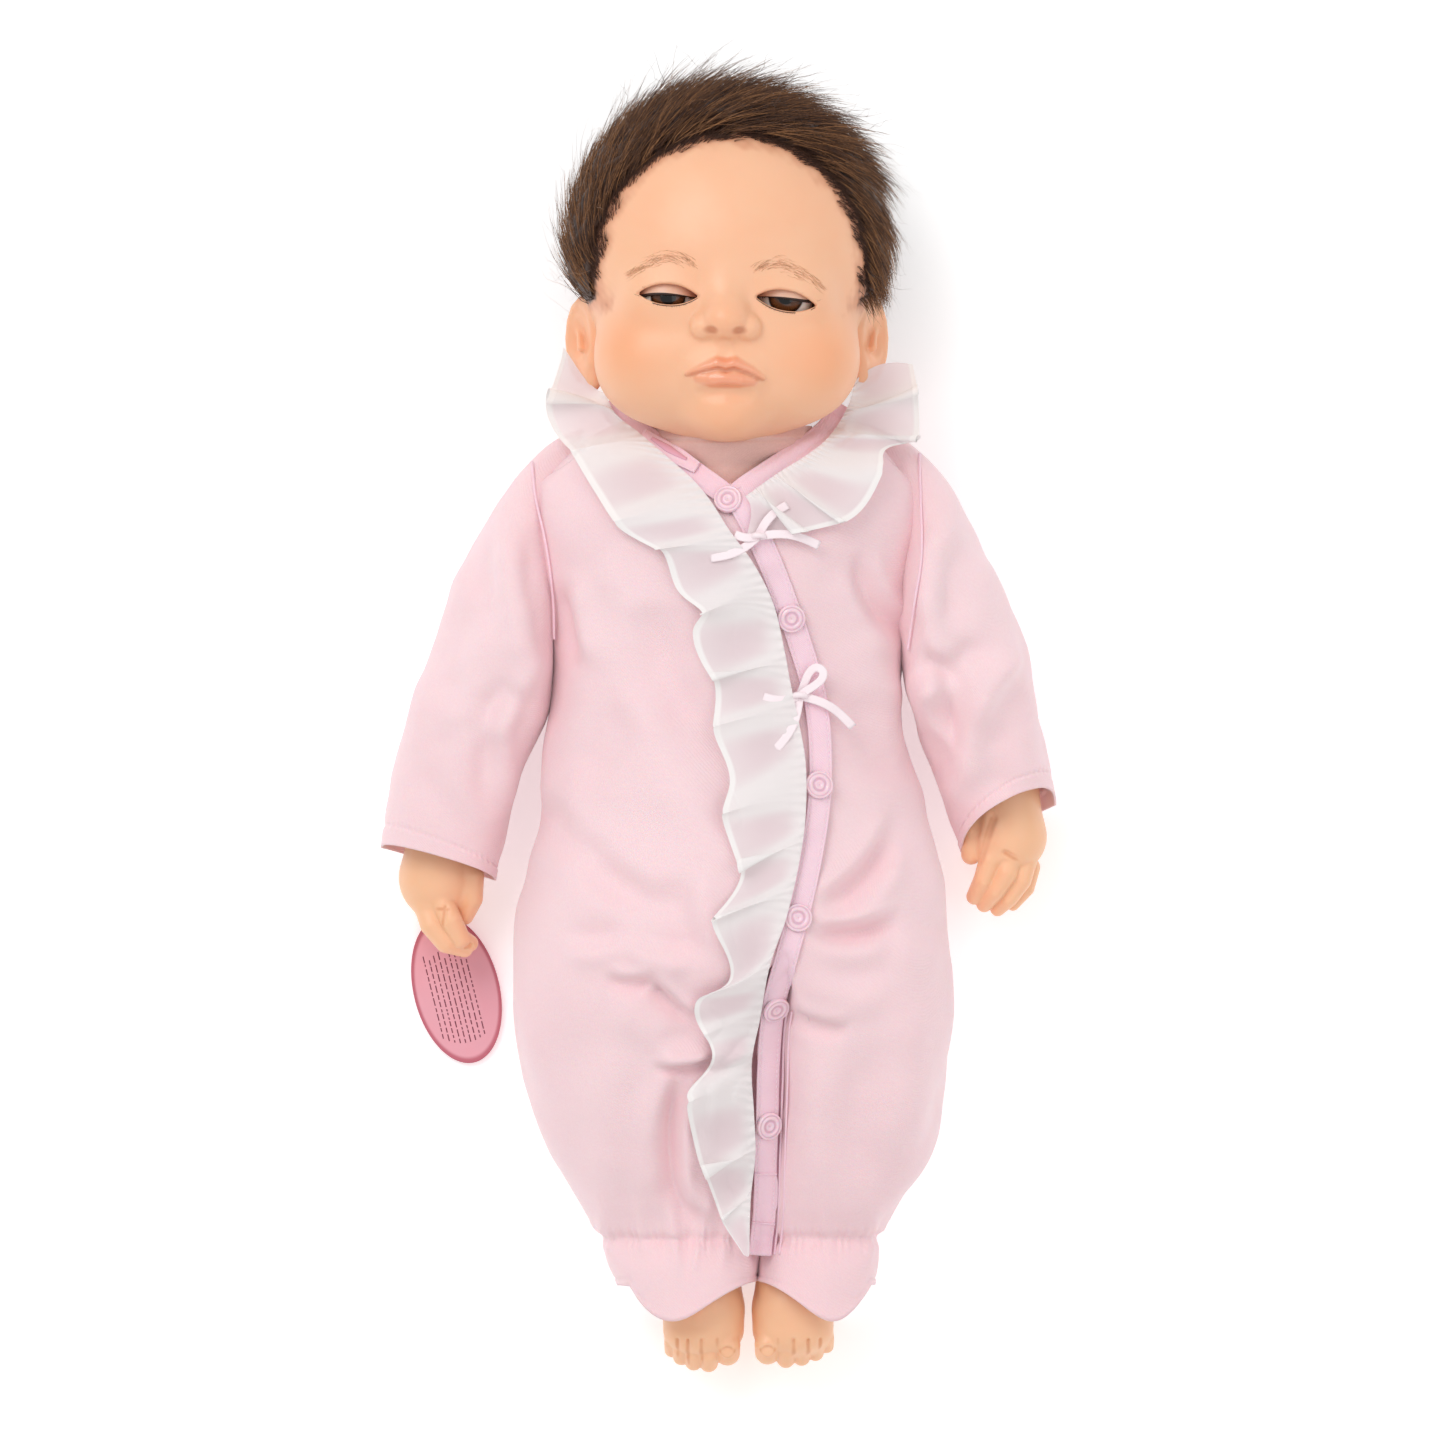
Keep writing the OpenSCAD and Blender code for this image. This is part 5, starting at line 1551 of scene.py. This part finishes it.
front_ruffle = ruffle("ruffle_front", RUFFLE_LEFT_SEAM, RUFFLE_LEFT_OUT, 31, 15, 25)
ruffle("ruffle_neck", RUFFLE_RIGHT_SEAM, RUFFLE_RIGHT_OUT, 37, 5, 24, "torso")
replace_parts(front_ruffle, "ruffle_upper", "ruffle_lower")
sheer_look.over(sheer_look.value("hem"), (252, 248, 246), 0.9)
clear = sheer_look.node("ShaderNodeMapRange")
clear.inputs["To Min"].default_value = 0.88
clear.inputs["To Max"].default_value = 1.0
sheer_look.link(sheer_look.value("hem"), clear.inputs["Value"])
sheer_look.link(clear.outputs["Result"], sheer_look.shader.inputs["Alpha"])

# Cloth of the doll's neck
neck_rows, neck_cols = 60, 160
a = np.linspace(0, 2 * PI, neck_cols, endpoint=False)
yy = np.linspace(80, 113, neck_rows)
A, Y = np.meshgrid(a, yy)
fold_in = -0.8 * np.exp(-((Y - 107.2) / 0.5) ** 2) - 2.0 * smooth(Y, 107.5, 113)
wrinkle = 0.35 * np.sin(A * 9 + Y * 0.25) * np.exp(-((Y - 96) / 9) ** 2)
weave = ripple(np.stack([A.ravel() * 26, Y.ravel()], 1), 91, 6).reshape(A.shape)
R = 26.2 + 4.5 * smooth(Y, 96, 108) + fold_in + wrinkle + 0.12 * weave
R += 4.0 * smooth(Y, 98, 107) * np.maximum(np.cos(A), 0) ** 3
p = np.stack([R * np.cos(A), Y, NECK[2] + R * np.sin(A)], -1)
neck = mesh_object("neck_cloth_tube", p.reshape(-1, 3),
                   grid_faces(neck_rows, neck_cols, wrap_cols=True),
                   neck_look.mat, "torso")
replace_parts(neck, "neck_cloth")

suit_shoulder("suit_shoulder_right", -1)
suit_shoulder("suit_shoulder_left", 1)


# ---- hands, feet and tag --------------------------------------------------------------

def finger(points, r0, r1):
    return chain(np.array(points, float), np.linspace(r0, r1, len(points)))


def limb(name, steps, low, high, body, creases):
    """A hand or foot, with painted shade along the creases that are listed."""
    obj = sculpt(name, sculpture(steps), low, high, 1.0, limb_look.mat, body)
    p = positions_mm(obj.data)
    near = np.full(len(p), 9.0)
    for line, r in creases:
        near = np.minimum(near, chain(np.array(line, float), np.full(len(line), r))(p))
    paint(obj, "crease_shade", 0.8 * (1 - smooth(near, -0.3, 0.8)))
    return obj


RIGHT_HAND = [
    ("add", capsule((-109, -34, 26), (-112, -58, 26), 13.0, 13.4), 0),
    ("add", ellipsoid((-112.5, -63, 26), (13.4, 13.5, 10.5)), 5),
    ("add", finger([(-103.5, -52, 27), (-98.6, -60, 29), (-98.4, -69, 29), (-101.2, -75.5, 26)],
                   5.6, 3.6), 2.4),
    ("add", finger([(-117, -68, 28), (-114, -79, 31), (-108.5, -86, 29.5), (-101.5, -88.2, 25)],
                   5.0, 3.5), 2.2),
    ("add", finger([(-111, -68, 31), (-106.6, -77, 34), (-102.8, -84.3, 31), (-99.2, -86.2, 26.5)],
                   4.9, 3.2), 0.7),
    ("add", finger([(-118, -67, 21), (-115, -77, 20), (-109, -84.5, 18), (-103, -86.5, 16)],
                   4.6, 3.2), 0.7),
    ("add", finger([(-113, -66, 17), (-110, -76, 14), (-105, -81.5, 12)], 4.4, 3.0), 0.7),
    ("cut", finger([(-117.5, -72.8, 36.5), (-112, -73.6, 38.5), (-107.5, -73, 39.5)],
                   1.2, 1.2), 1.6),
    ("cut", finger([(-108.6, -72, 37.6), (-109.8, -80, 38), (-106.8, -86.5, 35)], 0.9, 0.7), 1.2),
    ("cut", ellipsoid((-99.6, -87.4, 30.4), (1.9, 1.7, 1.5)), 0.6),
]
limb("hand_sculpt_right", RIGHT_HAND, (-130, -97, 5), (-90, -18, 44), "arm_right",
     [([(-117.5, -72.8, 35.2), (-107.5, -73, 37.4)], 0.3),
      ([(-108.6, -72, 36.3), (-109.8, -80, 36.6), (-106.8, -86.5, 34)], 0.3)])
LEFT_HAND = [
    ("add", capsule((107, -22, 26), (109, -44, 26), 13.0, 13.4), 0),
    ("add", ellipsoid((109.5, -46, 26), (12.8, 12.5, 10.5)), 5),
    ("add", finger([(99, -33, 27), (95.2, -42, 28), (94.3, -52, 27)], 5.6, 3.9), 2.0),
    ("add", finger([(104.5, -44, 29), (101.8, -54, 32), (99.0, -61.5, 31), (95.6, -68.2, 26)],
                   5.2, 3.2), 2.2),
    ("add", finger([(110, -50, 30), (108.0, -59, 32), (103.6, -66, 30), (99.4, -71.2, 25)],
                   4.8, 3.1), 0.7),
    ("add", finger([(115.5, -54, 28), (113.6, -62, 29), (108.8, -69, 27), (104.6, -73, 23)],
                   4.4, 2.9), 0.7),
    ("add", finger([(117.2, -57, 22), (115.6, -65, 22), (110.5, -71.2, 20)], 3.9, 2.6), 0.7),
    ("cut", finger([(107.4, -51.5, 37.4), (112.5, -54.6, 37.2), (117, -57.4, 34)], 1.1, 1.0), 1.5),
    ("cut", finger([(101.8, -38, 38.6), (99.0, -46, 37), (96.8, -54, 34)], 1.5, 1.3), 2.2),
]
limb("hand_sculpt_left", LEFT_HAND, (84, -80, 8), (128, -6, 44), "arm_left",
     [([(107.4, -51.5, 36.2), (112.5, -54.6, 36.0), (117, -57.4, 33)], 0.3),
      ([(101.8, -38, 37.2), (99.0, -46, 35.6), (96.8, -54, 32.6)], 0.3)])


def foot_steps(mid, toes):
    """Foot with toes listed as (x, y of the tip, radius), the big toe first."""
    steps = [
        ("add", capsule((mid, -196, 24), (mid, -224, 26), 14.0, 14.6), 0),
        ("add", ellipsoid((mid, -230, 27), (15.4, 14.5, 13.5)), 5),
        ("add", ellipsoid((mid, -237, 28), (15.0, 9.0, 11.5)), 4),
    ]
    for k, (x, tip, r) in enumerate(toes):
        root = mid + (x - mid) * 0.93
        steps.append(("add", finger([(root, -235.5, 30 - 1.2 * k), (x, tip + r + 3, 33 - 1.4 * k),
                                     (x, tip + r, 30.5 - 1.6 * k)], r + 0.3, r), 0.8))
    for k in range(len(toes) - 1):
        x = (toes[k][0] + toes[k + 1][0]) / 2
        x += (0.4 if k == 0 else 0) * np.sign(toes[1][0] - toes[0][0])
        steps.append(("cut", finger([(x * 0.97 + mid * 0.03, -239.0, 41 - 1.4 * k),
                                     (x, -249, 38 - 2 * k)], 0.6, 1.3), 1.0))
    bx, tip, _ = toes[0]
    steps.append(("cut", ellipsoid((bx, tip + 5.3, 37.8), (2.9, 2.5, 1.5)), 0.5))
    steps.append(("add", ellipsoid((bx, tip + 5.1, 35.8), (2.4, 2.1, 1.0)), 0.3))
    steps.append(("cut", finger([(mid - 9, -233.5, 41.6), (mid, -234.5, 42.8),
                                 (mid + 9, -233.5, 41.6)], 0.9, 0.9), 2.0))
    return steps


RIGHT_TOES = [(0.2, -249.2, 4.9), (-7.0, -251.8, 3.6), (-12.8, -251.2, 3.4), (-17.6, -249.2, 3.2),
              (-21.2, -246.2, 2.9)]
LEFT_TOES = [(15.7, -248.8, 4.9), (22.8, -250.2, 3.6), (28.8, -249.4, 3.4), (34.2, -247.6, 3.2),
             (38.4, -244.6, 2.9)]
for word, mid, toes in (("right", -9.0, RIGHT_TOES), ("left", 25.5, LEFT_TOES)):
    bx, tip, _ = toes[0]
    ring = [(bx + 2.9 * math.cos(t), tip + 5.3 + 2.5 * math.sin(t), 36.6)
            for t in np.linspace(0, 2 * PI, 14)]
    marks = [(ring, 0.15)]
    for k in range(len(toes) - 1):
        x = (toes[k][0] + toes[k + 1][0]) / 2
        marks.append(([(x * 0.97 + mid * 0.03, -239, 39.6 - 1.2 * k), (x, -249, 35 - 2 * k)], 0.5))
    limb(f"foot_sculpt_{word}", foot_steps(mid, toes), (mid - 19, -256, 5),
         (mid + 19, -182, 46), f"leg_{word}", marks)

tag_look = Look("tag_card", (236, 168, 180), 0.55, Coat_Weight=0.15)
tag_look.over(tag_look.noise(120, 3), (232, 172, 184), 0.5, 0.35, 0.7)
tag_look.over(tag_look.value("edge"), (186, 86, 104), 0.85)
tag_look.bump(tag_look.noise(700, 2), 0.03)
TAG_AT, TAG_R, TAG_TURN = (-104.7, -104.5), (16.6, 29.0), math.radians(14)


def tag_place(x, y, lift=0.0):
    """Points on the tag, from places measured along its short and long axes."""
    return np.stack([TAG_AT[0] + x * math.cos(TAG_TURN) - y * math.sin(TAG_TURN),
                     TAG_AT[1] + x * math.sin(TAG_TURN) + y * math.cos(TAG_TURN),
                     2.2 + 0.045 * (y + 6) * (y > -6) + 0.004 * x * x + lift], -1)


rings, spokes = 60, 150
rr = np.linspace(0.002, 1, rings)
aa = np.arange(spokes) * 2 * PI / spokes
lx = rr[:, None] * np.cos(aa)[None] * TAG_R[0]
ly = rr[:, None] * np.sin(aa)[None] * TAG_R[1]
tag = mesh_object("tag", tag_place(lx, ly).reshape(-1, 3),
                  grid_faces(rings, spokes, wrap_cols=True), tag_look.mat, "hang_tag")
thicken(tag, 0.7, 0)
paint(tag, "edge", smooth(np.repeat(rr, spokes), 0.9, 0.96))
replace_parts(tag, "hang_tag")
parts = []
rng = np.random.default_rng(19)
for x in np.linspace(-9.5, 6.5, 9):
    reach = TAG_R[1] * math.sqrt(1 - (x / TAG_R[0]) ** 2) * 0.72
    y = -reach
    while y < min(reach, 13):
        dash = rng.uniform(0.8, 3.2)
        ys = np.linspace(y, y + dash, 4)
        parts.append(tube_mesh(tag_place(np.full(4, x), ys, 0.36), 0.22, 4, 0.3))
        y += dash + rng.uniform(0.5, 1.0)
v, f = joined(parts)
ink_look = grained("tag_ink", (126, 58, 74), 0.7, 900, 1, 0.02)
mesh_object("tag_lines", v, f, ink_look.mat, "hang_tag")


# ---- the soft body under the suit ---------------------------------------------------

def soft_trunk(name, inset, look, seed):
    """The doll's cloth trunk: a closed form that keeps a gap under the suit."""
    rows, cols = 90, 140
    t = np.linspace(0, 1, rows)
    y = BODICE_LOW[1] + 3 + inset + t * (98 - inset * 2 - BODICE_LOW[1])
    a = np.arange(cols) * 2 * PI / cols
    mid = 0.5 * (edge_x(1, y) + edge_x(-1, y))
    half = 0.5 * (edge_x(1, y) - edge_x(-1, y)) - inset
    ends = np.sqrt(np.clip(1 - np.abs(2 * t - 1) ** 9, 0, 1))
    half = np.minimum(half, 66 - inset) * np.maximum(ends, 0.02) * (1 - 0.24 * smooth(y, 60, 98))
    x = mid[:, None] + half[:, None] * np.cos(a)[None]
    z = TORSO_MID + TORSO_FLAT * half[:, None] * np.sin(a)[None]
    p = np.stack([x, np.repeat(y[:, None], cols, 1), np.maximum(z, 3.5 + inset)], -1)
    p = p.reshape(-1, 3)
    p += 0.5 * ripple(p, seed, 20)[:, None] * unit(p - [0, 0, TORSO_MID]) * [1, 0, 1]
    return mesh_object(name, p, grid_faces(rows, cols, wrap_cols=True), look, "torso")


fill_look = Look("carried_stuffing", (240, 238, 232), 0.95)
fill_look.over(fill_look.noise(90, 3), (206.4, 204.68, 199.52), 0.5, 0.4, 0.75)
fill_look.bump(fill_look.noise(60, 3), 1.2)
fill_look.rough_by(fill_look.noise(45, 3), 0.87, 1.0)
cloth_trunk = soft_trunk("trunk_cloth", 7.5, neck_look.mat, 41)
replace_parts(cloth_trunk, "body_cloth")
trunk_fill = soft_trunk("trunk_filling", 9.5, fill_look.mat, 42)
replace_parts(trunk_fill, "torso_stuffing")

# The other CAD nodes that a visible piece stands for
for gone in ("bodice", "trouser_leg_right", "sleeve_right", "hand_right", "foot_right",
             "trouser_leg_left", "sleeve_left", "hand_left", "foot_left"):
    word = "left" if gone.endswith("left") else "right"
    kind = gone.split("_")[0]
    stand = {"bodice": "romper_right", "trouser": f"romper_{word}",
             "sleeve": f"sleeve_cloth_{word}", "hand": f"hand_sculpt_{word}",
             "foot": f"foot_sculpt_{word}"}[kind]
    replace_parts(bpy.data.objects[stand], gone)


# ---- camera, light and floor -------------------------------------------------------

def set_stage():
    scene = bpy.context.scene
    camera = bpy.data.objects.new("camera", bpy.data.cameras.new("camera"))
    camera.data.lens_unit = "FOV"
    camera.data.angle = math.radians(4)
    frame_w = 0.5563
    distance = frame_w / 2 / math.tan(math.radians(2)) + 0.05
    camera.location = (-0.0017, -0.001, distance)
    camera.data.clip_end = 20
    scene.collection.objects.link(camera)
    scene.camera = camera
    world = bpy.data.worlds.new("world")
    world.use_nodes = True
    back = world.node_tree.nodes["Background"]
    back.inputs["Color"].default_value = (1, 1, 1, 1)
    back.inputs["Strength"].default_value = 0.62
    scene.world = world
    scene.view_settings.view_transform = "Standard"
    floor_mesh = bpy.data.meshes.new("floor")
    floor_mesh.from_pydata([(-3, -3, 0), (3, -3, 0), (3, 3, 0), (-3, 3, 0)], [], [(0, 1, 2, 3)])
    floor_look = Look("floor_white", (252, 252, 252), 0.9, Emission_Color=(1, 1, 1, 1),
                      Emission_Strength=0.3)
    floor_mesh.materials.append(floor_look.mat)
    floor = bpy.data.objects.new("floor", floor_mesh)
    scene.collection.objects.link(floor)
    for name, place, size, power in (("key", (-0.9, 1.1, 1.9), 1.3, 20.0),
                                     ("fill", (1.2, 0.2, 1.8), 1.6, 6.5),
                                     ("front", (0.1, -1.5, 1.5), 1.5, 4.0)):
        lamp = bpy.data.lights.new(name, "AREA")
        lamp.size = size
        lamp.energy = power
        obj = bpy.data.objects.new(name, lamp)
        obj.location = place
        obj.rotation_euler = (-Vector(place)).to_track_quat("-Z", "Y").to_euler()
        scene.collection.objects.link(obj)


set_stage()
